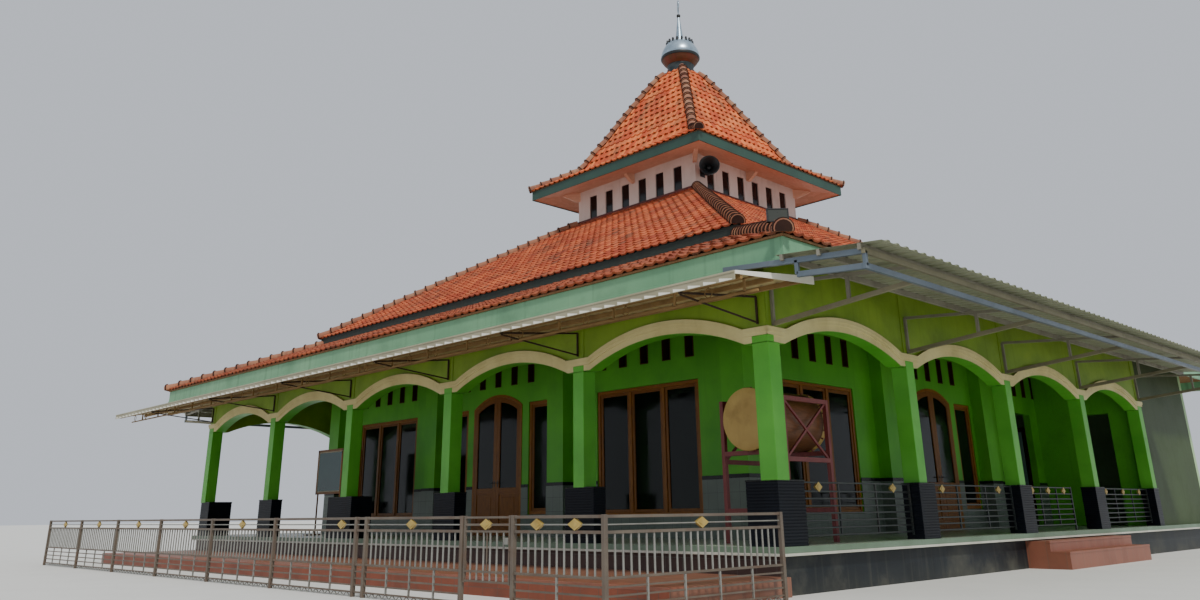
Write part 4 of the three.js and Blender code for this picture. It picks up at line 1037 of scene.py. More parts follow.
@dataclass
class Arcade:
    """One side's row of columns with arches, drawn as the front one and then turned."""

    name: str
    turn: Turn
    face: float
    start: float
    end: float
    first: float
    bay: float
    bays: int
    columns: Sequence[int]
    pedestals: Sequence[tuple[Range, Range]]
    corner: float = 0.0
    steps: int = 20
    play: float = 0.001
    seat: float = 0.002
    lining: float = 0.003
    strip_proud: float = 0.012
    layers: Outline = ((0.0, 0.014), (0.085, 0.034), (0.13, 0.046))
    head: float = 0.085
    head_proud: float = 0.022
    head_lap: float = 0.02
    rib: float = 0.0375
    rib_gap: float = 0.006
    rib_proud: float = 0.006
    cap: float = 0.022
    cap_proud: float = 0.006
    cap_edge: float = 0.005

    def scallop(self, level: float, before: float = 0.0, after: float = 0.0) -> Line:
        """The line of the arches, level over each column.

        Args:
            level: Its height over the veranda floor where it is level.
            before: How far it runs on ahead of the arcade's start.
            after: How far it runs on past the arcade's end.

        Returns:
            Places along the arcade with heights over the ground.
        """
        half = self.bay / 2 - PLAN.shoulder
        radius = (half ** 2 + PLAN.rise ** 2) / (2 * PLAN.rise)
        spread = math.asin(half / radius)
        line = [(self.start - before, PLAN.up(level))]
        for i in range(self.bays):
            centre = (self.first + (i + 0.5) * self.bay, PLAN.up(level) + PLAN.rise - radius)
            line += arc(centre, radius, math.pi / 2 + spread, math.pi / 2 - spread, self.steps)
        return line + [(self.end + after, PLAN.up(level))]

    def across(self, i: int) -> Range:
        """The range of one column along the arcade."""
        middle = self.first + i * self.bay
        return (middle - PLAN.column / 2, middle + PLAN.column / 2)

    def build(self) -> None:
        """Builds the wall over the arches, their linings and band, the columns and the pedestals."""
        for make, part, finish, smooth in ((self.wall, "spandrels", Paint.OLIVE, None),
                                           (self.linings, "arch_linings", Paint.COLUMN, None),
                                           (self.band, "arch_band", Paint.CREAM, 40),
                                           (self.shafts, "columns", Paint.COLUMN, None),
                                           (self.feet, "pedestals", Paint.RIB, None),
                                           (self.caps, "pedestal_caps", Paint.CAP, None)):
            shape = Shape()
            make(shape)
            replaces = [self.name] if part == "spandrels" else ()
            shape.piece(f"{self.name}_{part}", finish, replaces=replaces, smooth=smooth, at=self.turn.matrix)

    def wall(self, shape: Shape) -> None:
        """Adds the olive wall between the arches and the roof, with its strips over the columns.

        Args:
            shape: What is added to.
        """
        top = PLAN.lower_roof(self.face) - PLAN.roof_depth - self.seat
        line = self.scallop(PLAN.spring)
        shape.sheet(line, [(x, top) for x, _ in line], -self.face, PLAN.column - self.face)
        foot = PLAN.up(PLAN.spring + PLAN.band)
        for i in range(self.bays + 1):
            x0, x1 = self.across(i)
            shape.box((x0, -self.face - self.strip_proud, foot), (x1, -self.face, top), SOFT)

    def linings(self, shape: Shape) -> None:
        """Adds the painted undersides of the arches.

        Args:
            shape: What is added to.
        """
        line = self.scallop(PLAN.spring)
        low, high = ([(x, z + lift) for x, z in line] for lift in (-self.lining, self.lining))
        shape.sheet(low, high, -self.face + self.play, PLAN.column - self.face - self.play)

    def band(self, shape: Shape) -> None:
        """Adds the cream moulding that follows the arches, in steps that stand further and further out.

        Args:
            shape: What is added to.
        """
        for start, proud in self.layers:
            ends = (self.corner + proud, proud)
            lower = self.scallop(PLAN.spring + start, *ends)
            upper = self.scallop(PLAN.spring + PLAN.band, *ends)
            shape.sheet(lower, upper, -self.face - proud, -self.face - self.play)

    def shafts(self, shape: Shape) -> None:
        """Adds the columns over their pedestals. Their heads stand in front of the foot of the band.

        Args:
            shape: What is added to.
        """
        foot = PLAN.up(PLAN.pedestal) - self.cap / 2
        spring = PLAN.up(PLAN.spring)
        near = -self.face - self.head_proud
        for i in self.columns:
            x0, x1 = self.across(i)
            if not self.corner:
                x0 -= self.head_proud if i == 0 else 0
                x1 += self.head_proud if i == self.bays else 0
            shape.box((x0, near, foot), (x1, PLAN.column - self.face, spring), ROUND)
            shape.box((x0, near, spring - self.head_lap),
                      (x1, PLAN.column / 2 - self.face, spring + self.head), ROUND)

    def feet(self, shape: Shape) -> None:
        """Adds the pedestals, clad in dark tiles with level ribs.

        Args:
            shape: What is added to.
        """
        top = PLAN.up(PLAN.pedestal) - self.cap
        count = round((top - PLAN.floor) / self.rib)
        pitch = (top - PLAN.floor) / count
        inset = self.rib_proud
        for (x0, x1), (d0, d1) in self.pedestals:
            y0, y1 = d0 - self.face, d1 - self.face
            shape.box((x0 + inset, y0 + inset, PLAN.floor), (x1 - inset, y1 - inset, top))
            for k in range(count):
                low = PLAN.floor + k * pitch + self.rib_gap / 2
                shape.box((x0, y0, low), (x1, y1, low + pitch - self.rib_gap), BLUNT)

    def caps(self, shape: Shape) -> None:
        """Adds the smooth black tiles on the pedestals.

        Args:
            shape: What is added to.
        """
        top = PLAN.up(PLAN.pedestal)
        out = self.cap_proud
        for (x0, x1), (d0, d1) in self.pedestals:
            y0, y1 = d0 - self.face, d1 - self.face
            shape.box((x0 - out, y0 - out, top - self.cap), (x1 + out, y1 + out, top), self.cap_edge)


@dataclass
class Arcades:
    """The three rows of arches round the veranda."""

    corner_length: float = 0.485
    corner_proud: float = 0.01
    corner_depth: float = 0.56
    front_half: float = 0.315
    front_proud: float = 0.015
    wide_column: int = 2
    wide_extra: float = 0.3
    wide_depth: float = 0.45
    ahead: float = 0.07
    behind: float = 0.18
    side_proud: float = 0.045

    def front_pedestals(self) -> list[tuple[Range, Range]]:
        """Where the front pedestals stand, and how deep each is.

        Returns:
            Each one's range along the arcade and its range of depth behind the face.
        """
        found = []
        for i in range(1, PLAN.bays):
            x = PLAN.front_first + i * PLAN.front_bay
            wide = i == self.wide_column
            left = self.front_half + (self.wide_extra if wide else 0)
            depth = (-self.front_proud, self.wide_depth if wide else PLAN.column)
            found.append(((x - left, x + self.front_half), depth))
        inner, outer = PLAN.half_x - self.corner_length, PLAN.half_x + self.corner_proud
        for across in ((-outer, -inner), (inner, outer)):
            found.append((across, (-self.corner_proud, self.corner_depth)))
        return found

    def side_pedestals(self) -> list[tuple[Range, Range]]:
        """Where the side pedestals stand, and how deep each is.

        Returns:
            Each one's range along the arcade and its range of depth behind the face.
        """
        half = PLAN.column / 2
        found = []
        for i in range(1, PLAN.open_side_bays + 1):
            y = PLAN.side_first + i * PLAN.side_bay
            far = 0 if i == PLAN.open_side_bays else self.behind
            found.append(((y - half - self.ahead, y + half + far), (-self.side_proud, PLAN.column)))
        return found

    def build(self) -> None:
        """Builds the front, right and left arcades."""
        Arcade("front_arcade", Turn.FRONT, PLAN.half_y, -PLAN.half_x, PLAN.half_x, PLAN.front_first,
               PLAN.front_bay, PLAN.bays, range(PLAN.bays + 1), self.front_pedestals()).build()
        for name, turn in (("right_arcade", Turn.RIGHT), ("left_arcade", Turn.LEFT)):
            Arcade(name, turn, PLAN.half_x, -PLAN.half_y + PLAN.column, PLAN.end_wall, PLAN.side_first,
                   PLAN.side_bay, PLAN.open_side_bays, range(1, PLAN.open_side_bays + 1),
                   self.side_pedestals(), PLAN.column).build()


class Joints:
    """Wooden work in the making: uprights and level members, whose grain runs their own way."""

    def __init__(self) -> None:
        """Starts with nothing."""
        self.upright = Shape()
        self.level = Shape()

    def ring(self, across: Range, heights: Range, width: float, depth: Range, bevel: float = BLUNT) -> None:
        """Adds a rectangular frame.

        Args:
            across: Its outer range along the wall.
            heights: Its outer range of heights over the ground.
            width: How wide its members are.
            depth: Its range of depth.
            bevel: The width of its softened edges.
        """
        (x0, x1), (z0, z1), (y0, y1) = across, heights, depth
        for left, right in ((x0, x0 + width), (x1 - width, x1)):
            self.upright.box((left, y0, z0), (right, y1, z1), bevel)
        for low, high in ((z0, z0 + width), (z1 - width, z1)):
            self.level.box((x0 + width, y0, low), (x1 - width, y1, high), bevel)

    def settle(self, name: str, at: Matrix, finishes: tuple[Finish, Finish], body: str = ROOT,
               replaces: Sequence[str] = ()) -> None:
        """Makes pieces of both shapes.

        Args:
            name: What the pieces' names start with.
            at: Their place.
            finishes: The surfaces of the uprights and of the level members.
            body: The body that they ride on.
            replaces: The frame's nodes that they stand for.
        """
        self.upright.piece(f"{name}_stiles", finishes[0], body, replaces, at=at)
        self.level.piece(f"{name}_rails", finishes[1], body, replaces, at=at)


@dataclass
class HallWalls:
    """The tiled foot of the hall's walls and the linings of their vents."""

    height: float = 0.97
    cap: float = 0.06
    cap_proud: float = 0.003
    tile: float = 0.012
    lining: float = 0.02
    lining_proud: float = 0.012

    def build(self) -> None:
        """Builds the dados and the vents' linings."""
        near = [(PLAN.door_half, PLAN.lite[0], self.height), (*PLAN.lite, PLAN.lite_sill),
                (PLAN.lite[1], PLAN.pilaster[0], self.height)]
        inner = PLAN.hall + PLAN.pilaster_proud - PLAN.corner_pilaster
        windowed = near + [(PLAN.pilaster[1], PLAN.window[0], self.height), (*PLAN.window, PLAN.sill),
                           (PLAN.window[1], inner, self.height)]
        doored = near + [(PLAN.pilaster[1], PLAN.doorway[0], self.height),
                         (PLAN.doorway[1], PLAN.end_wall, self.height)]
        for name, turn, behind in (("front", Turn.FRONT, windowed), ("right", Turn.RIGHT, doored),
                                   ("left", Turn.LEFT, doored)):
            self.dado(name + "_before", turn.matrix @ MIRROR, windowed)
            self.dado(name + "_behind", turn.matrix, behind)
        self.corners()
        for turn in Turn:
            self.vents(turn, PLAN.half_y if turn is Turn.BACK else PLAN.hall)

    def clad(self, tiles: Shape, caps: Shape, across: Range, depth: Range, height: float) -> None:
        """Adds tiles round a pier, with black ones on top where they reach full height.

        Args:
            tiles: What the tiles are added to.
            caps: What the black tiles are added to.
            across: The pier's range along the wall.
            depth: Its range of depth.
            height: How high the tiles reach over the floor.
        """
        (x0, x1), (y0, y1) = across, depth
        top = PLAN.up(height)
        if height < self.height:
            tiles.box((x0, y0, PLAN.floor), (x1, y1, top))
            return
        out = self.cap_proud
        tiles.box((x0, y0, PLAN.floor), (x1, y1, top - self.cap))
        caps.box((x0 - out, y0 - out, top - self.cap), (x1 + out, y1, top), BLUNT)

    def dado(self, name: str, at: Matrix, spans: Sequence[tuple[float, float, float]]) -> None:
        """The dado of one half of a wall.

        Args:
            name: What the pieces' names end with.
            at: Their place.
            spans: The start, the end and the height of each stretch.
        """
        tiles, caps = Shape(), Shape()
        face = -PLAN.hall
        for start, end, height in spans:
            self.clad(tiles, caps, (start, end), (face - self.tile, face), height)
        near, far = PLAN.pilaster
        front = face - PLAN.pilaster_proud - self.tile
        self.clad(tiles, caps, (near - self.tile, far + self.tile), (front, face), self.height)
        tiles.piece(f"dado_{name}", Paint.DADO, at=at)
        caps.piece(f"dado_cap_{name}", Paint.CAP, at=at)

    def corners(self) -> None:
        """The dado round the two front corner pilasters."""
        tiles, caps = Shape(), Shape()
        outer = PLAN.hall + PLAN.pilaster_proud + self.tile
        inner = outer - PLAN.corner_pilaster - 2 * self.tile
        for across in ((-outer, -inner), (inner, outer)):
            self.clad(tiles, caps, across, (-outer, -inner), self.height)
        tiles.piece("dado_corners", Paint.DADO)
        caps.piece("dado_cap_corners", Paint.CAP)

    def vents(self, turn: Turn, face: float) -> None:
        """The wooden linings of one wall's vents.

        Args:
            turn: The wall's side.
            face: How far its outer face is from the middle.
        """
        wood = Joints()
        half = PLAN.vent_width / 2
        depth = (-face - self.lining_proud, -face + PLAN.wall)
        heights = (PLAN.up(PLAN.vent_sill), PLAN.up(PLAN.vent_head))
        for centre in PLAN.vent_centres:
            for k in range(-2, 3):
                x = centre + k * PLAN.vent_pitch
                wood.ring((x - half, x + half), heights, self.lining, depth, SOFT)
        wood.settle(f"vents_{turn.name.lower()}", turn.matrix, (Paint.LINING, Paint.LINING))


@dataclass
class Windows:
    """The framed windows of one wall, drawn as a front one's."""

    name: str
    at: Matrix
    openings: Sequence[tuple[float, float, float, int]]
    node: str
    face: float = PLAN.hall
    gap: float = 0.003
    stile: float = 0.06
    set_back: float = 0.02
    sash: float = 0.055
    sash_depth: Range = (0.02, 0.065)
    sash_play: float = 0.002
    pane: float = 0.006
    pane_edge: float = 0.008

    def build(self) -> None:
        """Builds the frames, the sashes and the panes."""
        frames, sashes, glass = Joints(), Joints(), Shape()
        near = -self.face + self.set_back
        depth = (near, -self.face + PLAN.wall)
        sash_depth = (near + self.sash_depth[0], near + self.sash_depth[1])
        middle = sum(sash_depth) / 2
        edge = self.sash - self.pane_edge
        for x0, x1, sill, lites in self.openings:
            foot, head = PLAN.up(sill) + self.gap, PLAN.up(PLAN.head) - self.gap
            frames.ring((x0 + self.gap, x1 - self.gap), (foot, head), self.stile, depth)
            pitch = (x1 - x0 - 2 * self.gap - self.stile) / lites
            low, high = foot + self.stile, head - self.stile
            for i in range(lites):
                left = x0 + self.gap + self.stile + i * pitch
                right = left + pitch - self.stile
                if i:
                    frames.upright.box((left - self.stile, depth[0], low), (left, depth[1], high), BLUNT)
                across = (left + self.sash_play, right - self.sash_play)
                sashes.ring(across, (low, high), self.sash, sash_depth)
                glass.box((left + edge, middle - self.pane / 2, low + edge),
                          (right - edge, middle + self.pane / 2, high - edge))
        frames.settle(f"{self.name}_frames", self.at, VARNISHED, replaces=[self.node])
        sashes.settle(f"{self.name}_sashes", self.at, GOLDEN)
        glass.piece(f"{self.name}_glass", Paint.GLASS, at=self.at)


@dataclass
class AllWindows:
    """The windows of every wall."""

    def build(self) -> None:
        """Builds each wall's windows."""
        lite = [(*PLAN.lite, PLAN.lite_sill, 1)]
        wide = [(*PLAN.window, PLAN.sill, 3)]
        right, left, back = Turn.RIGHT.matrix, Turn.LEFT.matrix, Turn.BACK.matrix
        Windows("front_right_windows", AS_DRAWN, wide + lite, "front_right_windows").build()
        Windows("front_left_windows", MIRROR, wide + lite, "front_left_windows").build()
        Windows("right_front_windows", right @ MIRROR, wide + lite, "right_front_windows").build()
        Windows("right_back_windows", right, lite, "right_back_windows").build()
        Windows("left_front_windows", left @ MIRROR, wide + lite, "left_windows").build()
        Windows("left_back_windows", left, lite, "left_windows").build()
        Windows("back_left_windows", back, wide, "back_windows", PLAN.half_y).build()
        Windows("back_right_windows", back @ MIRROR, wide, "back_windows", PLAN.half_y).build()


@dataclass
class Doorway:
    """An arched doorway with two leaves, drawn as the front one and then turned."""

    name: str
    turn: Turn
    bodies: tuple[str, str]
    frame_node: str
    leaf_nodes: tuple[str, str]
    frame_width: float = 0.055
    frame_depth: float = 0.12
    proud: float = 0.01
    leaf: float = 0.045
    gap: float = 0.005
    stile: float = 0.1
    bottom_rail: float = 0.2
    lock_rail: Range = (0.8, 0.92)
    rail_set: float = 0.001
    top_rail: float = 0.1
    panel: float = 0.018
    panel_lap: float = 0.01
    margin: float = 0.06
    raised: float = 0.008
    pane: float = 0.006
    handle_height: float = 1.02
    plate_half: float = 0.014
    plate_heights: Range = (-0.08, 0.05)
    plate_depth: Range = (-0.004, 0.002)
    spindle: float = 0.009
    spindle_out: float = 0.05
    lever: float = 0.1
    lever_heel: float = 0.008
    lever_out: float = 0.045
    lever_radii: Pair = (0.008, 0.006)
    steps: int = 16
    board_steps: int = 6

    def top(self, x: float, inset: float) -> float:
        """The arch's height over the ground.

        Args:
            x: A place along the wall, from the door's middle.
            inset: How far inside the wall's own arch.

        Returns:
            The height.
        """
        rise = PLAN.door_crown - PLAN.door_spring
        radius = (PLAN.door_half ** 2 + rise ** 2) / (2 * rise)
        return PLAN.up(PLAN.door_crown) - radius + math.sqrt((radius - inset) ** 2 - x ** 2)

    def under_arch(self, shape: Shape, across: Sequence[float], foot: float, inset: float,
                   depth: Range) -> None:
        """Adds a board whose top follows the arch.

        Args:
            shape: What it is added to.
            across: Its range along the wall.
            foot: Its lower edge over the ground.
            inset: How far inside the wall's arch its top is.
            depth: Its range of depth.
        """
        places = spaced(across, self.board_steps)
        shape.sheet([(x, foot) for x in places], [(x, self.top(x, inset)) for x in places], *depth)

    def arch_band(self, shape: Shape, across: Range, outer: float, inner: float, depth: Range) -> None:
        """Adds a band that follows the arch.

        Args:
            shape: What it is added to.
            across: Its range along the wall.
            outer: How far inside the wall's arch its upper edge is.
            inner: How far inside its lower edge is.
            depth: Its range of depth.
        """
        places = spaced(across, self.steps)
        low, high = ([(x, self.top(x, inset)) for x in places] for inset in (inner, outer))
        shape.sheet(low, high, *depth)

    def build(self) -> None:
        """Builds the frame and both leaves."""
        self.frame()
        for side, body, node in zip((-1, 1), self.bodies, self.leaf_nodes):
            self.leaf_of(side, body, node)

    def frame(self) -> None:
        """The frame that is fixed in the wall."""
        wood = Joints()
        face = -PLAN.hall - self.proud
        depth = (face, face + self.frame_depth)
        half = PLAN.door_half - HAIR
        inner = half - self.frame_width
        for across in ((-half, -inner), (inner, half)):
            self.under_arch(wood.upright, across, PLAN.floor, HAIR, depth)
        self.arch_band(wood.level, (-inner, inner), HAIR, self.frame_width, depth)
        wood.settle(f"{self.name}_frame", self.turn.matrix, VARNISHED, replaces=[self.frame_node])

    def leaf_of(self, side: int, body: str, node: str) -> None:
        """One leaf with its panel, pane and handle.

        Args:
            side: -1 for the left one, 1 for the right one, seen from outside.
            body: The body that it rides on.
            node: The frame's node that it stands for.
        """
        wood, panel, glass, metal = Joints(), Shape(), Shape(), Shape()
        face = -PLAN.hall - self.proud
        depth = (face, face + self.leaf)
        inset = self.frame_width + self.gap
        edge = PLAN.door_half - inset
        foot = PLAN.floor + self.gap
        near = self.gap / 2
        for start in (near, edge - self.stile):
            across = sorted((side * start, side * (start + self.stile)))
            self.under_arch(wood.upright, across, foot, inset, depth)
        low, high = sorted((side * (near + self.stile), side * (edge - self.stile)))
        lock = (PLAN.up(self.lock_rail[0]), PLAN.up(self.lock_rail[1]))
        top = foot + self.bottom_rail
        for z0, z1 in ((foot, top), lock):
            wood.level.box((low, depth[0] + self.rail_set, z0), (high, depth[1] - self.rail_set, z1), BLUNT)
        self.arch_band(wood.level, (low, high), inset, inset + self.top_rail, depth)
        centre, lap = sum(depth) / 2, self.panel_lap
        thin = (centre - self.panel / 2, centre + self.panel / 2)
        panel.box((low - lap, thin[0], top - lap), (high + lap, thin[1], lock[0] + lap))
        margin, raised = self.margin, self.raised
        panel.box((low + margin, thin[0] - raised, top + margin),
                  (high - margin, thin[1] + raised, lock[0] - margin), raised)
        self.under_arch(glass, (low, high), lock[1], inset + self.top_rail,
                        (centre - self.pane / 2, centre + self.pane / 2))
        self.handle(metal, side, face)
        at = self.turn.matrix
        wood.settle(f"{body}_leaf", at, GOLDEN, body, [node])
        panel.piece(f"{body}_panel", Paint.DOOR, body, at=at)
        glass.piece(f"{body}_glass", Paint.GLASS, body, at=at)
        metal.piece(f"{body}_handle", Paint.OLD_METAL, body, at=at)

    def handle(self, metal: Shape, side: int, face: float) -> None:
        """Adds a lever handle on its plate.

        Args:
            metal: What it is added to.
            side: The leaf's side.
            face: Where the leaf's outer face is.
        """
        x = side * (self.gap / 2 + self.stile / 2)
        z = PLAN.up(self.handle_height)
        (near, far), (low, high), half = self.plate_depth, self.plate_heights, self.plate_half
        metal.box((x - half, face + near, z + low), (x + half, face + far, z + high), FINE)
        metal.rod((x, face, z), (x, face - self.spindle_out, z), self.spindle, 10)
        y = face - self.lever_out
        heel, tip = self.lever_radii
        metal.rod((x - side * self.lever_heel, y, z), (x + side * self.lever, y, z), heel, 10, tip)


def spaced(across: Sequence[float], steps: int) -> list[float]:
    """Places spread evenly over a range, both ends included."""
    return [across[0] + (across[1] - across[0]) * i / steps for i in range(steps + 1)]


@dataclass
class FixedDoor:
    """The far side's door, which stays shut between its side lights."""

    frame_width: float = 0.058
    play: float = 0.002
    set_back: float = 0.02
    panel_depth: Range = (0.014, 0.03)
    panel_lap: float = 0.01

    def build(self) -> None:
        """Builds it with the parts of a moving door, all fixed."""
        maker = Doorway("left_door", Turn.LEFT, ("", ""), "left_windows", ("", ""), self.frame_width)
        maker.frame()
        wood, panel = Joints(), Shape()
        face = -PLAN.hall + self.set_back
        depth = (face, face + maker.leaf)
        inset = maker.frame_width + maker.gap
        edge = PLAN.door_half - inset
        for x in (-edge, -maker.stile - self.play, self.play, edge - maker.stile):
            maker.under_arch(wood.upright, (x, x + maker.stile), PLAN.floor, inset, depth)
        maker.arch_band(wood.level, (-edge, edge), inset, inset + maker.top_rail, depth)
        for z0, z1 in ((0.0, maker.bottom_rail), maker.lock_rail):
            wood.level.box((-edge, depth[0], PLAN.up(z0)), (edge, depth[1], PLAN.up(z1)), BLUNT)
        maker.under_arch(panel, (-edge, edge), PLAN.floor, inset + self.panel_lap,
                         (face + self.panel_depth[0], face + self.panel_depth[1]))
        wood.settle("left_door_leaves", Turn.LEFT.matrix, GOLDEN)
        panel.piece("left_door_panel", Paint.DOOR, at=Turn.LEFT.matrix)


@dataclass
class TileFace:
    """The tiles of one side of a hipped roof, drawn as its front one and then turned."""

    name: str
    turn: Matrix
    line: Outline
    seed: int
    finish: Finish
    width: float = 0.2
    gauge: float = 0.235
    lift: float = 0.03
    bed: float = 0.006
    side_play: float = 0.003
    lift_play: float = 0.004
    wave: Outline = ((0.0, 0.006), (0.18, 0.0), (0.5, 0.0), (0.64, 0.014), (0.78, 0.03), (0.9, 0.022),
                     (1.0, 0.006))

    def build(self) -> None:
        """Lays the courses and trims them at the hips."""
        shape = Shape()
        tone = shape.bm.faces.layers.float.new("tone")
        chance = random.Random(self.seed)
        for foot, head in self.courses():
            self.course(shape, tone, chance, foot, head)
        for side in (-1, 1):
            everything = list(shape.bm.verts) + list(shape.bm.edges) + list(shape.bm.faces)
            bmesh.ops.bisect_plane(shape.bm, geom=everything, dist=HAIR / 10, plane_co=(0, 0, 0),
                                   plane_no=(side, 1, 0), clear_outer=True)
        shape.piece(self.name, self.finish, facing=False, at=self.turn)

    def courses(self) -> list[tuple[Vector, Vector]]:
        """The foot and the head of each course, as half sizes and heights.

        Returns:
            Both lines of each course, from the lowest one up.
        """
        points = [Vector(p) for p in self.line]
        total = length_of(points)
        count = round(total / self.gauge)
        marks = [walk(points, i * total / count) for i in range(count + 1)]
        return list(zip(marks, marks[1:]))

    def course(self, shape: Shape, tone: bmesh.types.BMLayerItem, chance: random.Random, foot: Vector,
               head: Vector) -> None:
        """Lays one course.

        Args:
            shape: What the tiles are added to.
            tone: The layer that keeps each tile's tone.
            chance: Where each tile's own play comes from.
            foot: The course's lower line: half size and height.
            head: Its upper line.
        """
        slope = (head - foot).normalized()
        normal = Vector((0, -slope.y, -slope.x))
        count = math.ceil(2 * foot.x / self.width) + 1
        first = -count * self.width / 2
        new = shape.bm.verts.new
        for i in range(count):
            start = first + i * self.width + chance.uniform(-self.side_play, self.side_play)
            play = chance.uniform(-self.lift_play, self.lift_play)
            grade = chance.random()
            rows = [[], [], []]
            for share, height in self.wave:
                x = start + share * self.width
                base = Vector((x, -foot.x, foot.y))
                rows[0].append(new(base + normal * (self.bed + height)))
                rows[1].append(new(base + normal * (self.bed + height + self.lift + play)))
                rows[2].append(new(Vector((x, -head.x, head.y)) + normal * (self.bed + height)))
            for low, high in zip(rows, rows[1:]):
                for j in range(len(self.wave) - 1):
                    face = shape.bm.faces.new((low[j], low[j + 1], high[j + 1], high[j]))
                    face[tone] = grade


@dataclass
class HipCaps:
    """The round tiles that lie over the four hips of one roof, with a thicker end to each; the dark disc and
    ring at each end are painted shade.
    """

    name: str
    line: Outline
    pitch: float = 0.3
    lap: float = 0.06
    radius: float = 0.122
    tip: float = 0.098
    rise: float = 0.03
    tilt: float = 0.02
    overhang: float = 0.05
    plug: Range = (-0.004, 0.01)
    plug_radius: float = 0.106
    joint: Range = (0.022, 0.05)
    joint_radius: float = 0.138
    seat: float = 0.035
    sides: int = 16

    def build(self) -> None:
        """Lays one hip's caps and turns copies of them to the others."""
        caps, joints = Shape(), Shape()
        points = [Vector((half, -half, z + self.rise)) for half, z in self.line]
        total = length_of(points)
        count = round(total / self.pitch)
        step = total / count
        for i in range(count):
            start = walk(points, i * step) + Vector((0, 0, self.tilt))
            end = walk(points, min((i + 1) * step + self.lap, total - HAIR))
            ahead = (end - start).normalized()
            if i == 0:
                start -= ahead * self.overhang
            # The plug and the joint ring are dark: painted shade in each tile's hollow end and at each joint.
            rods = ((caps, 0.0, (end - start).length, self.radius, self.tip),
                    (joints, *self.plug, self.plug_radius, self.plug_radius),
                    (joints, *self.joint, self.joint_radius, self.joint_radius))
            for shape, near, far, wide, narrow in rods:
                verts = shape.rod(start + ahead * near, start + ahead * far, wide, self.sides, narrow)
                self.cut(shape, verts, start, ahead)
        for shape, part, finish in ((caps, "caps", Paint.RIDGE), (joints, "cap_joint_shade", Paint.RIDGE_JOINT_SHADE)):
            shape.repeated(QUARTERS)
            shape.piece(f"{self.name}_hip_{part}", finish, smooth=50)

    def cut(self, shape: Shape, verts: Verts, start: Vector, ahead: Vector) -> None:
        """Takes the part of a round tile away that would lie under the roof, and closes it.

        Args:
            shape: What the tile belongs to.
            verts: The tile's vertices.
            start: A point of its axis.
            ahead: The axis's direction.
        """
        up = ahead.cross(Vector((0, 0, 1)).cross(ahead)).normalized()
        faces = {f for v in verts for f in v.link_faces}
        edges = {e for f in faces for e in f.edges}
        result = bmesh.ops.bisect_plane(shape.bm, geom=[*verts, *edges, *faces], dist=HAIR / 10,
                                        plane_co=start - up * self.seat, plane_no=up, clear_inner=True)
        rim = [e for e in result["geom_cut"] if isinstance(e, bmesh.types.BMEdge)]
        bmesh.ops.holes_fill(shape.bm, edges=rim, sides=0)


@dataclass
class Roofs:
    """The three tiers of tiled roof."""

    overhang: float = 0.02
    lower_head: float = 0.02
    mid_head: float = 0.01
    upper_foot: float = 0.006
    curve: Outline = ((2.41, 9.24), (2.03, 9.46), (1.78, 9.95), (1.53, 10.35), (1.32, 10.75), (1.04, 11.25),
                      (0.76, 11.75), (0.46, 12.24), (0.1, 12.68))
    cap_end: Pair = (0.34, PLAN.up(12.387))

    def build(self) -> None:
        """Builds the tiles and the hip caps of every tier."""
        lip = PLAN.eave + PLAN.eave_lip + self.overhang
        edge = PLAN.upper_eave + PLAN.upper_lip + self.overhang
        lower = [(half, PLAN.lower_roof(half)) for half in (lip, PLAN.hall + self.lower_head)]
        mid = [(half, PLAN.mid_roof(half))
               for half in (PLAN.mid_eave + self.overhang, PLAN.lantern + self.mid_head)]
        foot = (edge, PLAN.up(PLAN.upper_seat + self.upper_foot))
        upper = [foot] + [(half, PLAN.up(z)) for half, z in self.curve]
        tiers = (("lower", lower, Paint.LOWER_CLAY), ("mid", mid, Paint.OLD_CLAY),
                 ("upper", upper, Paint.CLAY))
        for tier, (name, line, finish) in enumerate(tiers):
            for k, side in enumerate(("front", "right", "back", "left")):
                TileFace(f"{name}_tiles_{side}", QUARTERS[k], line, 10 * tier + k, finish).build()
            HipCaps(name, line[:-1] + [self.cap_end] if name == "upper" else line).build()


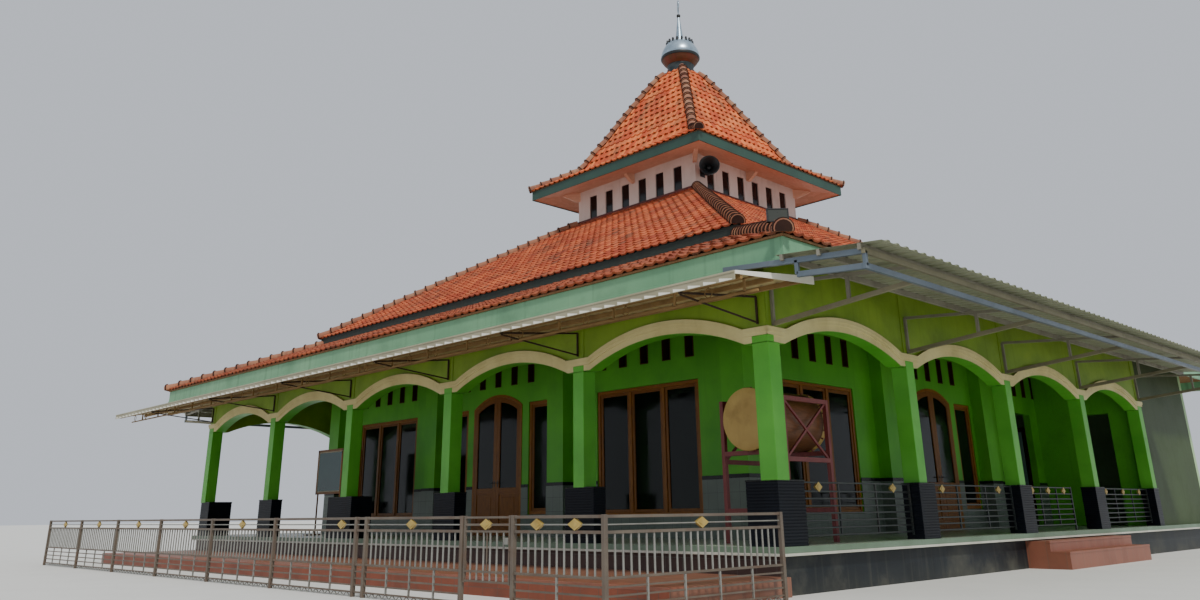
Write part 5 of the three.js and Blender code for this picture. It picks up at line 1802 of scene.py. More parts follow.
@dataclass
class Eaves:
    """Boards and trims at the edges of the roofs, and the lantern between the upper two."""

    fascia: float = 0.038
    bead: float = 0.012
    bead_heights: Range = (0.006, 0.05)
    upper_board: float = 0.022
    upper_laps: Pair = (-0.02, -0.004)
    soffit_head: float = 8.82
    soffit_lap: float = 0.01
    bracket: float = 0.1
    bracket_reach: float = 0.3
    corner_reach: float = 0.42
    bracket_foot: float = 8.56
    bracket_root: float = 0.05
    bracket_toe: float = 0.07
    bracket_end: float = 0.04
    apron: float = 0.02
    apron_height: float = 0.13
    slot_width: float = 0.27
    slot_pitch: float = 0.61
    slot_heights: Range = (7.93, 8.6)
    slots: int = 6
    pane_depth: Range = (0.03, 0.036)

    def build(self) -> None:
        """Builds every trim."""
        self.boards()
        self.bracket_row("eave_brackets", PLAN.lantern, self.bracket_reach, 1.0, 0.0)
        corner = PLAN.lantern * math.sqrt(2)
        self.bracket_row("corner_brackets", corner, self.corner_reach, math.sqrt(0.5), 45.0)
        self.flashing()
        self.panes()

    def ring(self, shape: Shape, half: float, thick: float, heights: Range, bevel: float = SOFT) -> None:
        """Adds a square ring of boards.

        Args:
            shape: What it is added to.
            half: Its inner half size.
            thick: The boards' thickness, outwards.
            heights: Their range of heights over the ground.
            bevel: The width of their softened edges.
        """
        low, high = heights
        outer = half + thick
        for near, far in ((-outer, -half), (half, outer)):
            shape.box((near, -outer, low), (far, outer, high), bevel)
            shape.box((-half, near, low), (half, far, high), bevel)

    def boards(self) -> None:
        """The lower roof's deep painted board with a bead along its foot, and the upper roof's board."""
        lower, upper = Shape(), Shape()
        foot = PLAN.up(PLAN.fascia_bottom)
        self.ring(lower, PLAN.eave - self.fascia, self.fascia, (foot, PLAN.up(PLAN.fascia_top)), BLUNT)
        self.ring(lower, PLAN.eave, self.bead, (foot + self.bead_heights[0], foot + self.bead_heights[1]))
        lower.piece("fascia_boards", Paint.FASCIA, replaces=["lower_fascia"])
        low = PLAN.up(PLAN.upper_soffit) + self.upper_laps[0]
        high = PLAN.up(PLAN.upper_seat) + self.upper_laps[1]
        self.ring(upper, PLAN.upper_eave, self.upper_board, (low, high))
        upper.piece("upper_fascia_boards", Paint.UPPER_FASCIA)

    def flashing(self) -> None:
        """The dark red apron where the lantern stands on the tiles."""
        shape = Shape()
        seat = PLAN.up(PLAN.lantern_seat)
        self.ring(shape, PLAN.lantern, self.apron, (seat, seat + self.apron_height))
        shape.piece("lantern_flashing", Paint.FLASHING)

    def soffit(self, out: float) -> float:
        """The height over the ground of the upper eaves' underside at a distance from the lantern."""
        slope = (PLAN.upper_soffit - self.soffit_head) / (PLAN.upper_eave - PLAN.lantern)
        return PLAN.up(self.soffit_head + out * slope)

    def bracket_row(self, name: str, start: float, reach: float, share: float, turn: float) -> None:
        """Four short tapered brackets, one for each side or corner.

        Args:
            name: The piece's name.
            start: How far from the middle the lantern's surface is there.
            reach: How far they stand out.
            share: How much of a step out brings them nearer to the eaves.
            turn: The first one's place, in degrees from the front.
        """
        shape = Shape()
        foot = PLAN.up(self.bracket_foot)
        root, end = self.bracket_root - start, -start - reach
        under = self.soffit(reach * share)
        outline = ((root, foot), (-start - self.bracket_toe, foot), (end, under - self.bracket_end),
                   (end, under + self.soffit_lap), (root, self.soffit(0) + self.soffit_lap))
        shape.prism([(-self.bracket / 2, y, z) for y, z in outline], (self.bracket, 0, 0))
        first = Matrix.Rotation(math.radians(turn), 4, "Z")
        shape.repeated([quarter @ first for quarter in QUARTERS])
        shape.piece(name, Paint.SALMON)

    def panes(self) -> None:
        """A dark pane in each opening of the lantern, painted shade for the dim inside."""
        shape = Shape()
        z0, z1 = (PLAN.up(z) for z in self.slot_heights)
        near, far = (depth - PLAN.lantern for depth in self.pane_depth)
        half = self.slot_width / 2
        for i in range(self.slots):
            x = (i - (self.slots - 1) / 2) * self.slot_pitch
            shape.box((x - half, near, z0), (x + half, far, z1))
        shape.repeated(QUARTERS)
        shape.piece("lantern_panes", Paint.SHADE_PANE)


@dataclass
class Finial:
    """The spun ornament on the roof's peak."""

    neck: Outline = ((0.0, -0.4), (0.362, -0.4), (0.366, -0.2), (0.372, -0.07), (0.39, -0.05), (0.39, -0.03),
                     (0.37, -0.02), (0.0, -0.02))
    bowl: Outline = ((0.0, -0.02), (0.39, -0.02), (0.43, 0.02), (0.5, 0.1), (0.51, 0.13), (0.53, 0.16),
                     (0.54, 0.21), (0.0, 0.21))
    lip: Outline = ((0.52, 0.17), (0.548, 0.175), (0.565, 0.2), (0.568, 0.235), (0.555, 0.262), (0.535, 0.27),
                    (0.52, 0.26), (0.52, 0.17))
    dome: Outline = ((0.0, 0.24), (0.54, 0.25), (0.552, 0.3), (0.545, 0.36), (0.525, 0.43), (0.49, 0.51),
                     (0.45, 0.58), (0.41, 0.64), (0.392, 0.66), (0.385, 0.69), (0.36, 0.7), (0.16, 0.71),
                     (0.135, 0.73), (0.125, 0.8), (0.1, 1.0), (0.075, 1.2), (0.052, 1.42), (0.036, 1.58),
                     (0.0, 1.6))
    petal_radius: float = 0.365
    petal_heights: Range = (0.68, 0.7756)
    petal_lean: float = 1.03
    petal_size: float = 0.042
    petal_taper: float = 0.7
    petal_count: int = 18
    ball: float = 0.06
    ball_height: float = 1.645
    stem: float = 0.013
    stem_foot: float = 1.59
    ring_radius: float = 0.165
    ring_tube: float = 0.02
    ring_height: float = 1.96
    disc: float = 0.085
    disc_half: float = 0.008
    peg: float = 0.01
    steps: int = 40
    ring_steps: tuple[int, int] = (10, 36)

    def build(self) -> None:
        """Builds the neck, the bowl, the dome with its spire, the petals, the ball and the ring."""
        foot = PLAN.up(PLAN.apex)
        for name, profile, finish in (("neck", self.neck, Paint.OLD_METAL), ("bowl", self.bowl, Paint.RUSTED),
                                      ("lip", self.lip, Paint.HORN), ("dome", self.dome, Paint.SPUN)):
            shape = Shape()
            shape.lathe(profile, self.steps, (0, 0, foot))
            shape.piece(f"finial_{name}", finish, replaces=["finial"], smooth=40)
        self.petals(foot)
        ball = Shape()
        bmesh.ops.create_uvsphere(ball.bm, u_segments=20, v_segments=12, radius=self.ball,
                                  matrix=Matrix.Translation((0, 0, foot + self.ball_height)))
        ball.piece("finial_ball", Paint.HORN, smooth=60)
        self.emblem(foot)

    def petals(self, foot: float) -> None:
        """The little upright petals round the dome's shoulder.

        Args:
            foot: The roof's peak over the ground.
        """
        shape = Shape()
        low, high = (foot + height for height in self.petal_heights)
        for i in range(self.petal_count):
            angle = math.tau * i / self.petal_count
            x, y = self.petal_radius * math.cos(angle), self.petal_radius * math.sin(angle)
            shape.rod((x, y, low), (x * self.petal_lean, y * self.petal_lean, high), self.petal_size, 8,
                      self.petal_size * self.petal_taper)
        shape.piece("finial_petals", Paint.HORN, smooth=60)

    def emblem(self, foot: float) -> None:
        """The open ring with a disc, on its stem at the top.

        Args:
            foot: The roof's peak over the ground.
        """
        shape = Shape()
        middle = foot + self.ring_height
        low = middle - self.ring_radius
        shape.rod((0, 0, foot + self.stem_foot), (0, 0, low), self.stem, 10)
        sides, steps = self.ring_steps
        circle = bmesh.ops.create_circle(shape.bm, segments=sides, radius=self.ring_tube,
                                         matrix=Matrix.Translation((0, self.ring_radius, middle)))["verts"]
        edges = list({e for v in circle for e in v.link_edges})
        bmesh.ops.spin(shape.bm, geom=circle + edges, cent=(0, 0, middle), axis=(1, 0, 0), angle=math.tau,
                       steps=steps, use_merge=True)
        shape.rod((-self.disc_half, 0, middle), (self.disc_half, 0, middle), self.disc, 24)
        shape.rod((0, 0, low), (0, 0, middle), self.peg, 8)
        shape.piece("finial_emblem", Paint.SPUN, smooth=50, at=Matrix.Rotation(math.pi / 4, 4, "Z"))


@dataclass
class Loudspeaker:
    """The horn on its arm at the lantern's corner."""

    out: float = 2.335
    side: float = -1.895
    height: float = 8.33
    profile: Outline = ((0.0, -0.16), (0.07, -0.16), (0.088, -0.145), (0.09, -0.01), (0.07, 0.012),
                        (0.06, 0.03), (0.075, 0.1), (0.105, 0.19), (0.16, 0.28), (0.215, 0.345),
                        (0.245, 0.372), (0.25, 0.38), (0.243, 0.38), (0.205, 0.345), (0.15, 0.28),
                        (0.095, 0.195), (0.06, 0.1), (0.045, 0.05), (0.0, 0.05))
    cone: Outline = ((0.0, 0.05), (0.03, 0.06), (0.055, 0.16), (0.06, 0.2), (0.045, 0.225), (0.0, 0.235))
    steps: int = 36
    plate: float = 0.014
    plate_half: float = 0.1
    plate_sides: Range = (-0.04, 0.14)
    arm: Pair = (0.01, 0.05)
    arm_size: Pair = (0.035, 0.05)

    def build(self) -> None:
        """Builds the horn, its inner cone and its arm."""
        z = PLAN.up(self.height)
        at = (Matrix.Translation((self.out, self.side, z))
              @ Matrix.Rotation(math.pi / 4, 4, "Z") @ Matrix.Rotation(math.pi / 2, 4, "X"))
        for name, profile, finish in (("horn", self.profile, Paint.HORN),
                                      ("horn_cone", self.cone, Paint.HORN_INSIDE)):
            shape = Shape()
            shape.lathe(profile, self.steps)
            shape.piece(name, finish, smooth=50, replaces=["loudspeaker"], facing=False, at=at)
        arm = Shape()
        near, far = (self.side + y for y in self.plate_sides)
        arm.box((PLAN.lantern, near, z - self.plate_half),
                (PLAN.lantern + self.plate, far, z + self.plate_half), SOFT)
        root, aside = self.arm
        y = self.side + aside
        arm.bar((PLAN.lantern + root, y, z), (self.out, y, z), *self.arm_size, BLUNT)
        arm.piece("horn_arm", Paint.HORN)


@dataclass
class Floodlight:
    """The flat lamp on the lower roof's corner."""

    half: float = 9.515
    width: float = 0.27
    height: float = 0.175
    depth: float = 0.06
    centre: float = 3.865
    rim: float = 0.016
    back: Pair = (-0.005, -0.004)
    back_inset: float = 0.01
    fins: int = 9
    fin_half: float = 0.002
    fin_depth: Range = (-0.006, 0.012)
    fin_insets: Pair = (0.03, 0.02)
    foot: float = 0.02
    foot_lap: float = 0.005
    glass: Range = (0.006, 0.01)
    glass_inset: float = 0.014
    strip: Range = (-0.012, -0.006)
    strip_inset: float = 0.018
    strip_foot: float = 0.055

    def build(self) -> None:
        """Builds the housing, its glass, its reflector strip and its foot."""
        z = PLAN.up(self.centre)
        w, h, d = self.width / 2, self.height / 2, self.depth / 2
        housing, glass, strip = Shape(), Shape(), Shape()
        rim, inset = self.rim, self.back_inset
        for low, high in (((-w, -d, -h), (rim - w, d, h)), ((w - rim, -d, -h), (w, d, h)),
                          ((-w, -d, -h), (w, d, rim - h)), ((-w, -d, h - rim), (w, d, h))):
            housing.box(low, high, BLUNT)
        housing.box((inset - w, self.back[0], inset - h), (w - inset, d + self.back[1], h - inset))
        side, end = self.fin_insets
        for i in range(self.fins):
            x = side - w + i * (2 * w - 2 * side) / (self.fins - 1)
            housing.box((x - self.fin_half, d + self.fin_depth[0], end - h),
                        (x + self.fin_half, d + self.fin_depth[1], h - end))
        foot = self.foot
        housing.box((-foot, -foot, PLAN.lower_roof(self.half) - z), (foot, foot, self.foot_lap - h), SOFT)
        inset = self.glass_inset
        glass.box((inset - w, self.glass[0] - d, inset - h), (w - inset, self.glass[1] - d, h - inset))
        inset = self.strip_inset
        near, far = self.strip
        strip.box((inset - w, near, h - self.strip_foot), (w - inset, far, h - inset), FINE)
        at = Matrix.Translation((self.half, -self.half, z)) @ Matrix.Rotation(math.pi / 4, 4, "Z")
        for shape, name, finish in ((housing, "housing", Paint.HORN), (glass, "glass", Paint.LAMP_FACE),
                                    (strip, "reflector", Paint.REFLECTOR)):
            shape.piece(f"floodlight_{name}", finish, replaces=["floodlight"], at=at)


SHEET_METAL = 0.0015


def ribbed(start: float, end: float, pitch: float, height: float) -> Line:
    """The section of a ribbed sheet.

    Args:
        start: Where it starts.
        end: Where it ends.
        pitch: From one rib to the next.
        height: How high the ribs are.

    Returns:
        Places across the sheet with heights over its trough.
    """
    count = round((end - start) / pitch)
    step = (end - start) / count
    shape = ((0.0, 0.0), (0.55, 0.0), (0.65, height), (0.87, height), (0.97, 0.0))
    return [(start + (i + f) * step, h) for i in range(count) for f, h in shape] + [(end, 0.0)]


@dataclass
class FrontCanopy:
    """The sheet canopy over the front arches, with its purlins, brackets, trims and lattice."""

    reach: float = 1.62
    wall: float = 3.17
    edge: float = 2.985
    left: float = 11.03
    right: float = 9.55
    start: float = 0.037
    sheet: float = 0.012
    pitch: float = 0.25
    rib: float = 0.018
    purlins: tuple[float, ...] = (0.3, 0.9, 1.5)
    purlin: Pair = (0.04, 0.06)
    bracket: float = 0.026
    bracket_start: float = 0.0323
    bracket_end: float = 1.56
    bracket_foot: float = 2.72
    bracket_set: float = 0.072
    brace: float = 0.8
    brace_lap: float = 0.02
    lip: float = 0.085
    fold: tuple[Range, Range] = ((-0.004, 0.008), (-0.085, 0.012))
    roll: tuple[Range, Range] = ((-0.012, 0.03), (-0.004, 0.022))
    rake: float = 0.02
    rake_thick: float = 0.012
    dash_pitch: float = 0.236
    dash: float = 0.19
    dash_start: float = 9.321
    dash_heights: Pair = (0.009, 0.04)
    dash_lift: float = 0.006
    dash_depth: Pair = (0.0045, 0.003)
    lattice_out: float = 1.2
    lattice_gap: float = 0.008
    lattice_drop: float = 0.17
    lattice_start: float = 9.356
    lattice_pitch: float = 1.091
    lattice_rail: float = 0.026
    ring_shifts: Pair = (0.545, 0.864)
    ring: float = 0.058
    ring_steps: int = 14
    wire: float = 0.009

    def top(self, out: float) -> float:
        """The sheet's top over the ground at a distance out from the arcade."""
        return PLAN.up(self.wall - (out / self.reach) * (self.wall - self.edge))

    def under(self, out: float) -> float:
        """The sheet's underside over the ground at a distance out from the arcade."""
        return self.top(out) - self.sheet

    def at(self, x: float, out: float, z: float) -> Point:
        """A point at a distance out from the arcade."""
        return (x, -PLAN.half_y - out, z)

    def build(self) -> None:
        """Builds the sheet, what carries it, its trims and the lattice under it."""
        self.ribbed_sheet()
        self.purlin_rows()
        self.brackets()
        self.lips()
        self.dashes()
        self.lattice()

    def ribbed_sheet(self) -> None:
        """The sheet itself, whose ribs run down its slope."""
        shape = Shape()
        section = ribbed(-self.left, self.right, self.pitch, self.rib)
        low, high = ([self.at(x, out, self.under(out) + h) for x, h in section]
                     for out in (self.reach, self.start))
        shape.strip(low, high, (0, 0, SHEET_METAL))
        shape.piece("front_canopy_ribbed_sheet", Paint.FRONT_SHEET, replaces=["front_canopy_sheet"])

    def purlin_rows(self) -> None:
        """The long purlins right under the sheet."""
        shape = Shape()
        width, height = self.purlin
        for out in self.purlins:
            top = self.under(out + width / 2) - HAIR
            shape.box(self.at(-self.left, out + width / 2, top - height),
                      self.at(self.right, out - width / 2, top), SOFT)
        shape.piece("front_canopy_purlins", Paint.PURLIN, replaces=["front_canopy_frame"])

    def brackets(self) -> None:
        """The thin brackets on the columns: a wall bar, a chord and a brace."""
        shape = Shape()
        start, end, size, lap = self.bracket_start, self.bracket_end, self.bracket, self.brace_lap
        foot = PLAN.up(self.bracket_foot)
        near, far = (self.under(out) - self.bracket_set for out in (start, end))
        for i in range(PLAN.bays + 1):
            x = PLAN.front_first + i * PLAN.front_bay
            shape.bar(self.at(x, start, foot), self.at(x, start, near), size, size, FINE)
            shape.bar(self.at(x, start, near), self.at(x, end, far), size, size, FINE)
            shape.bar(self.at(x, start, foot + lap), self.at(x, end - lap, far - lap), size * self.brace,
                      size * self.brace, FINE)
        shape.piece("front_canopy_brackets", Paint.DARK_STEEL, replaces=["front_canopy_frame"])

    def lips(self) -> None:
        """The folded lip along the front and the white strip down the right end."""
        lip, white = Shape(), Shape()
        top = self.top(self.reach)
        front = -PLAN.half_y - self.reach
        for ((d0, d1), (h0, h1)), bevel in ((self.fold, SOFT), (self.roll, BLUNT)):
            lip.box((-self.left, front + d0, top + h0), (self.right, front + d1, top + h1), bevel)
        lip.piece("front_canopy_lip", Paint.LIP)
        head = self.top(self.start)
        white.prism([self.at(self.right, self.start, head + self.rake),
                     self.at(self.right, self.reach, top + self.rake),
                     self.at(self.right, self.reach, top - self.rake),
                     self.at(self.right, self.start, head - self.lip)], (self.rake_thick, 0, 0))
        white.piece("front_canopy_rake", Paint.LIP_WHITE)

    def dashes(self) -> None:
        """The row of white wedges painted low on the lip."""
        shape = Shape()
        proud, thick = self.dash_depth
        y = -PLAN.half_y - self.reach - proud
        low = self.top(self.reach) - self.lip + self.dash_lift
        short, tall = self.dash_heights
        count = int((self.left + self.dash_start) / self.dash_pitch)
        for i in range(count + 1):
            x = self.dash_start - i * self.dash_pitch
            end = x + self.dash
            outline = ((x, low), (end, low), (end, low + short), (x, low + tall))
            shape.prism([(u, y, v) for u, v in outline], (0, thick, 0))
        shape.piece("front_canopy_dashes", Paint.LIP_WHITE)

    def lattice(self) -> None:
        """A second rail under the purlins, with short posts and rings between."""
        shape = Shape()
        out, size = self.lattice_out, self.lattice_rail
        top = self.under(out) - self.lattice_gap
        low = top - self.lattice_drop
        for z in (top, low):
            shape.bar(self.at(-self.left, out, z), self.at(self.right, out, z), size, size)
        count = int((self.left + self.lattice_start) / self.lattice_pitch)
        for i in range(count + 1):
            x = self.lattice_start - i * self.lattice_pitch
            shape.bar(self.at(x, out, low), self.at(x, out, top), size, size)
            centre = (x - self.ring_shifts[i % 2], (low + top) / 2)
            if centre[0] > -self.left + self.ring:
                self.ring_at(shape, centre, (top - low) / 2)
        shape.piece("front_canopy_lattice", Paint.PURLIN)

    def ring_at(self, shape: Shape, centre: Pair, half: float) -> None:
        """Adds a thin ring that two pegs hold between the rails.

        Args:
            shape: What it is added to.
            centre: Its middle, along the canopy and over the ground.
            half: How far the rails are from its middle.
        """
        out = self.lattice_out
        x, z = centre
        circle = arc(centre, self.ring, 0, math.tau, self.ring_steps)
        pegs = [((x, z + sign * self.ring), (x, z + sign * half)) for sign in (-1, 1)]
        for (x0, z0), (x1, z1) in [*zip(circle, circle[1:]), *pegs]:
            shape.bar(self.at(x0, out, z0), self.at(x1, out, z1), self.wire, self.wire)


@dataclass
class SideCanopy:
    """A sheet canopy along one side, drawn on the right."""

    name: str
    at: Matrix
    front: float
    start: float = 0.918
    reach: float = 2.3
    chord: float = 2.05
    web: float = 1.17
    wall: float = 3.25
    pitch: float = 0.0765
    steel: float = 0.04
    skin: float = 0.003
    purlin: float = 0.06
    lap: float = 0.06
    drop: float = 0.17
    beam: float = 0.06
    rib_pitch: float = 0.2
    rib: float = 0.022
    strut: Pair = (0.046, 0.056)
    strut_start: float = 0.05
    strut_foot: float = 2.722
    strut_lap: float = 0.02
    frame_start: float = 0.1

    def chord_height(self, out: float) -> float:
        """The chords' height over the ground at a distance out from the arcade."""
        return PLAN.up(self.wall - out * self.pitch)

    def build(self) -> None:
        """Builds the sheet, the pale members of its outer edge and the struts."""
        self.ribbed_sheet()
        self.edge_beams()
        self.struts()

    def ribbed_sheet(self) -> None:
        """The sheet, whose ribs run down its slope and notch its outer edge."""
        shape = Shape()
        section = ribbed(self.front - self.lap, PLAN.end_wall, self.rib_pitch, self.rib)
        lift = self.steel / 2 + self.purlin
        low, high = ([(PLAN.half_x + out, y, self.chord_height(out) + lift + h) for y, h in section]
                     for out in (self.reach, self.start))
        shape.strip(low, high, (0, 0, SHEET_METAL))
        shape.piece(f"{self.name}_canopy_ribbed_sheet", Paint.SHEET, replaces=[f"{self.name}_canopy_sheet"],
                    at=self.at)

    def edge_beams(self) -> None:
        """The channels along the outer edge, round the frame's own beams."""
        upper, lower = Shape(), Shape()
        x = PLAN.half_x + self.chord
        half, tall = self.steel / 2 + self.skin, self.beam / 2 + self.skin
        top = self.chord_height(self.chord)
        start = self.front - self.lap / 2 - self.skin
        for shape, z in ((upper, top), (lower, top - self.drop)):
            shape.box((x - half, start, z - tall), (x + half, PLAN.end_wall, z + tall), SOFT)
        lower.box((x - half, self.front - half, top - self.drop), (x + half, self.front + half, top), SOFT)
        if self.front < -PLAN.half_y:
            self.end_frame(lower, 2 * half, 2 * tall, top)
        upper.piece(f"{self.name}_canopy_upper_channel", Paint.BEIGE_STEEL, at=self.at)
        lower.piece(f"{self.name}_canopy_lower_channels", Paint.PALE_STEEL, at=self.at)

    def struts(self) -> None:
        """The channels round the frame's own sloping struts."""
        shape = Shape()
        foot = PLAN.up(self.strut_foot)
        far = self.chord_height(self.chord) - self.drop
        for i in range(PLAN.open_side_bays + 1):
            y = PLAN.side_first + i * PLAN.side_bay
            shape.bar((PLAN.half_x + self.strut_start, y, foot),
                      (PLAN.half_x + self.chord - self.strut_lap, y, far), *self.strut, SOFT)
        shape.piece(f"{self.name}_canopy_struts", Paint.BEIGE_STEEL, at=self.at)

    def end_frame(self, shape: Shape, width: float, height: float, top: float) -> None:
        """Adds the channels round the open frame ahead of the building.

        Args:
            shape: What they are added to.
            width: Their width.
            height: Their height.
            top: The outer beam's height over the ground.
        """
        inner, outer, web = (PLAN.half_x + out for out in (self.frame_start, self.chord, self.web))
        y = self.front
        low, high = self.chord_height(self.web) - self.drop, self.chord_height(self.web)
        shape.bar((inner, y, self.chord_height(self.frame_start)), (outer, y, top), width, height, SOFT)
        shape.bar((web, y, low), (outer, y, top - self.drop), width, height, SOFT)
        shape.bar((web, y, low), (web, y, high), width, width, SOFT)


@dataclass
class Diamonds:
    """Gold rhombs held between the top two rails of a railing or the fence."""

    half_width: float
    half_height: float
    thick: float = 0.028
    raised: float = 0.009
    share: float = 0.55

    def add(self, shape: Shape, middle: Point, along: Point) -> None:
        """Adds one rhomb with a smaller one raised on it.

        Args:
            shape: What it is added to.
            middle: Its middle.
            along: The way that its rail runs.
        """
        run = Vector(along)
        across = Vector((0, 0, 1)).cross(run)
        for size, thick in ((1.0, self.thick), (self.share, self.thick + self.raised)):
            near = Vector(middle) - across * thick / 2
            corners = [near + run * (a * self.half_width * size) + Vector((0, 0, b * self.half_height * size))
                       for a, b in ((1, 0), (0, 1), (-1, 0), (0, -1))]
            shape.prism(corners, tuple(across * thick))


@dataclass
class Railings:
    """The railings between the right side's pedestals, with their gold marks."""

    heights: tuple[float, ...] = (0.11, 0.20, 0.29, 0.38, 0.47, 0.56, 0.65, 0.76)
    bar: float = 0.022
    stay_proud: float = 0.001
    post: float = 0.03
    post_foot: float = 0.06
    post_top: float = 0.019
    count: int = 4
    standing: int = 2
    unmarked: tuple[int, ...] = (0, 1)
    marks: Diamonds = field(default_factory=lambda: Diamonds(0.085, 0.065))

    def build(self) -> None:
        """Builds every railing."""
        bars, gold = Shape(), Shape()
        nodes = [f"right_railing_{i + 1}" for i in range(self.count)]
        for i, node in enumerate(nodes):
            start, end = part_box(node)
            self.railing(bars, gold, i, (start.x + end.x) / 2, (start.y, end.y))
        bars.piece("railing_bars", Paint.RAIL, replaces=nodes)
        gold.piece("railing_diamonds", Paint.GOLD)

    def railing(self, bars: Shape, gold: Shape, index: int, x: float, span: Range) -> None:
        """Adds one railing.

        Args:
            bars: What its bars and posts are added to.
            gold: What its rhombs are added to.
            index: Which railing it is, from the front.
            x: Where it stands.
            span: Its range along the side.
        """
        half, post = self.bar / 2, self.post / 2
        first, last = span[0] + post, span[1] - post
        third = (last - first) / 3
        levels = [PLAN.up(height) for height in self.heights]
        for z in levels:
            bars.box((x - half, first, z - half), (x + half, last, z + half), SOFT)
        for y, lands in ((first, False), (last, index == self.standing)):
            foot = PLAN.floor if lands else PLAN.up(self.post_foot)
            bars.box((x - post, y - post, foot), (x + post, y + post, levels[-1] + self.post_top), SOFT)
        wide = half + self.stay_proud
        for k in (1, 2):
            y = first + k * third
            bars.box((x - wide, y - half, levels[0]), (x + wide, y + half, levels[-1]))
        for k in range(3):
            if k != 1 or index not in self.unmarked:
                self.marks.add(gold, (x, first + (k + 0.5) * third, sum(levels[-2:]) / 2), (0, 1, 0))


@dataclass
class Fence:
    """The street fence: posts and rails, round bars between them, and ornaments."""

    ahead: float = 3.262
    left: float = -9.07
    right: float = 9.07
    post: float = 0.05
    post_top: float = 0.954
    post_marks: tuple[float, ...] = (-9.07, -6.82, -4.57, -2.32, -0.07, 2.17, 4.47, 4.72, 6.78)
    far_post: float = 7.69
    thick_rails: tuple[Pair, ...] = ((0.935, 0.03), (0.79, 0.03), (0.38, 0.026))
    round_rail: Pair = (0.86, 0.0075)
    thin_rails: tuple[float, ...] = (0.30, 0.22, 0.14, 0.06)
    thin: float = 0.018
    stay: float = 0.02
    stay_pitch: float = 0.55
    pitch: float = 0.11
    bar: float = 0.0115
    wave: float = 0.16
    wave_heights: Range = (0.014, 0.054)
    wave_strip: Pair = (0.012, 0.006)
    wave_steps: int = 6
    places: tuple[float, ...] = (-7.945, -5.695, -3.445, -1.195, 1.05, 4.09, 5.75, 8.08, 8.66)
    gate: Range = (6.8275, 7.6425)
    gate_place: float = 7.22
    gate_foot: float = 0.28
    latch: tuple[Point, Point] = ((-0.08, -0.03, 0.66), (-0.02, 0.02, 0.73))
    return_start: float = 0.0003
    return_end: float = 0.42
    knuckle: Pair = (0.007, 0.06)
    knuckle_arm: Pair = (0.035, 0.024)
    hinges: Pair = (0.42, 0.84)
    hinge: Pair = (6.815, 0.0323)
    stop: tuple[Point, Point] = ((7.63, -0.0188, 0.60), (7.69, -0.0128, 0.64))
    marks: Diamonds = field(default_factory=lambda: Diamonds(0.1025, 0.058, 0.034))

    @property
    def line(self) -> float:
        """Where the fence stands, as a distance along Y."""
        return -PLAN.half_y - self.ahead

    def build(self) -> None:
        """Builds the front runs, the return to the building and the gate's bars."""
        self.front()
        self.side()
        self.gate_bars()

    def front(self) -> None:
        """The runs left and right of the gate."""
        posts, bars, gold = Shape(), Shape(), Shape()
        for start, end in ((self.left, self.post_marks[-1]), (self.far_post, self.right)):
            self.rails(posts, bars, start, end)
        for x in (*self.post_marks, self.far_post, self.right):
            self.stand(posts, x)
        runs = list(zip(self.post_marks, self.post_marks[1:])) + [(self.far_post, self.right)]
        for start, end in runs:
            if end - start > self.stay_pitch:
                self.panel(bars, start + self.post / 2, end - self.post / 2)
        for x in self.places:
            self.mark(gold, x)
        self.fittings(posts)
        nodes = ["fence_front", "fence_front_right"]
        posts.piece("fence_posts", Paint.FENCE_POST, replaces=nodes)
        bars.piece("fence_bars", Paint.FENCE, replaces=nodes)
        gold.piece("fence_diamonds", Paint.GOLD)

    def stand(self, shape: Shape, x: float) -> None:
        """Adds one post."""
        half = self.post / 2
        shape.box((x - half, self.line - half, 0.0), (x + half, self.line + half, self.post_top), BLUNT)

    def rails(self, posts: Shape, bars: Shape, start: float, end: float) -> None:
        """Adds the rails of a run of panels.

        Args:
            posts: What the square rails are added to.
            bars: What the round one is added to.
            start: Where they start.
            end: Where they end.
        """
        for z, size in self.thick_rails:
            half = size / 2
            posts.box((start, self.line - half, z - half), (end, self.line + half, z + half), SOFT)
        height, radius = self.round_rail
        bars.rod((start, self.line, height), (end, self.line, height), radius, 8)
        for z in self.thin_rails:
            posts.bar((start, self.line, z), (end, self.line, z), self.thin, self.thin)

    def panel(self, shape: Shape, start: float, end: float) -> None:
        """Adds the upright bars and the ornament of one run between two posts.

        Args:
            shape: What they are added to.
            start: The near face of the first post.
            end: The near face of the last post.
        """
        low, high = self.thick_rails[2][0], self.thick_rails[1][0]
        self.balusters(shape, start, end, low, high)
        count = max(2, round((end - start) / self.stay_pitch))
        half = self.stay / 2
        for i in range(1, count):
            x = start + i * (end - start) / count
            shape.box((x - half, self.line - half, self.thin_rails[-1]), (x + half, self.line + half, low))
        self.waves(shape, start, end)

    def balusters(self, shape: Shape, start: float, end: float, low: float, high: float) -> None:
        """Adds evenly spaced round bars between two rails.

        Args:
            shape: What they are added to.
            start: Where the run starts.
            end: Where it ends.
            low: The lower rail over the ground.
            high: The upper rail over the ground.
        """
        count = round((end - start) / self.pitch)
        for i in range(1, count):
            x = start + i * (end - start) / count
            shape.rod((x, self.line, low), (x, self.line, high), self.bar, 6)

    def waves(self, shape: Shape, start: float, end: float) -> None:
        """Adds the small bent strip that winds along the foot.

        Args:
            shape: What it is added to.
            start: Where it starts.
            end: Where it ends.
        """
        count = round((end - start) / self.wave)
        low, high = self.wave_heights
        steps = self.wave_steps * count
        points = []
        for k in range(steps + 1):
            z = (low + high) / 2 + (high - low) / 2 * math.sin(math.tau * count * k / steps)
            points.append((start + k * (end - start) / steps, self.line, z))
        for a, b in zip(points, points[1:]):
            shape.bar(a, b, *self.wave_strip)

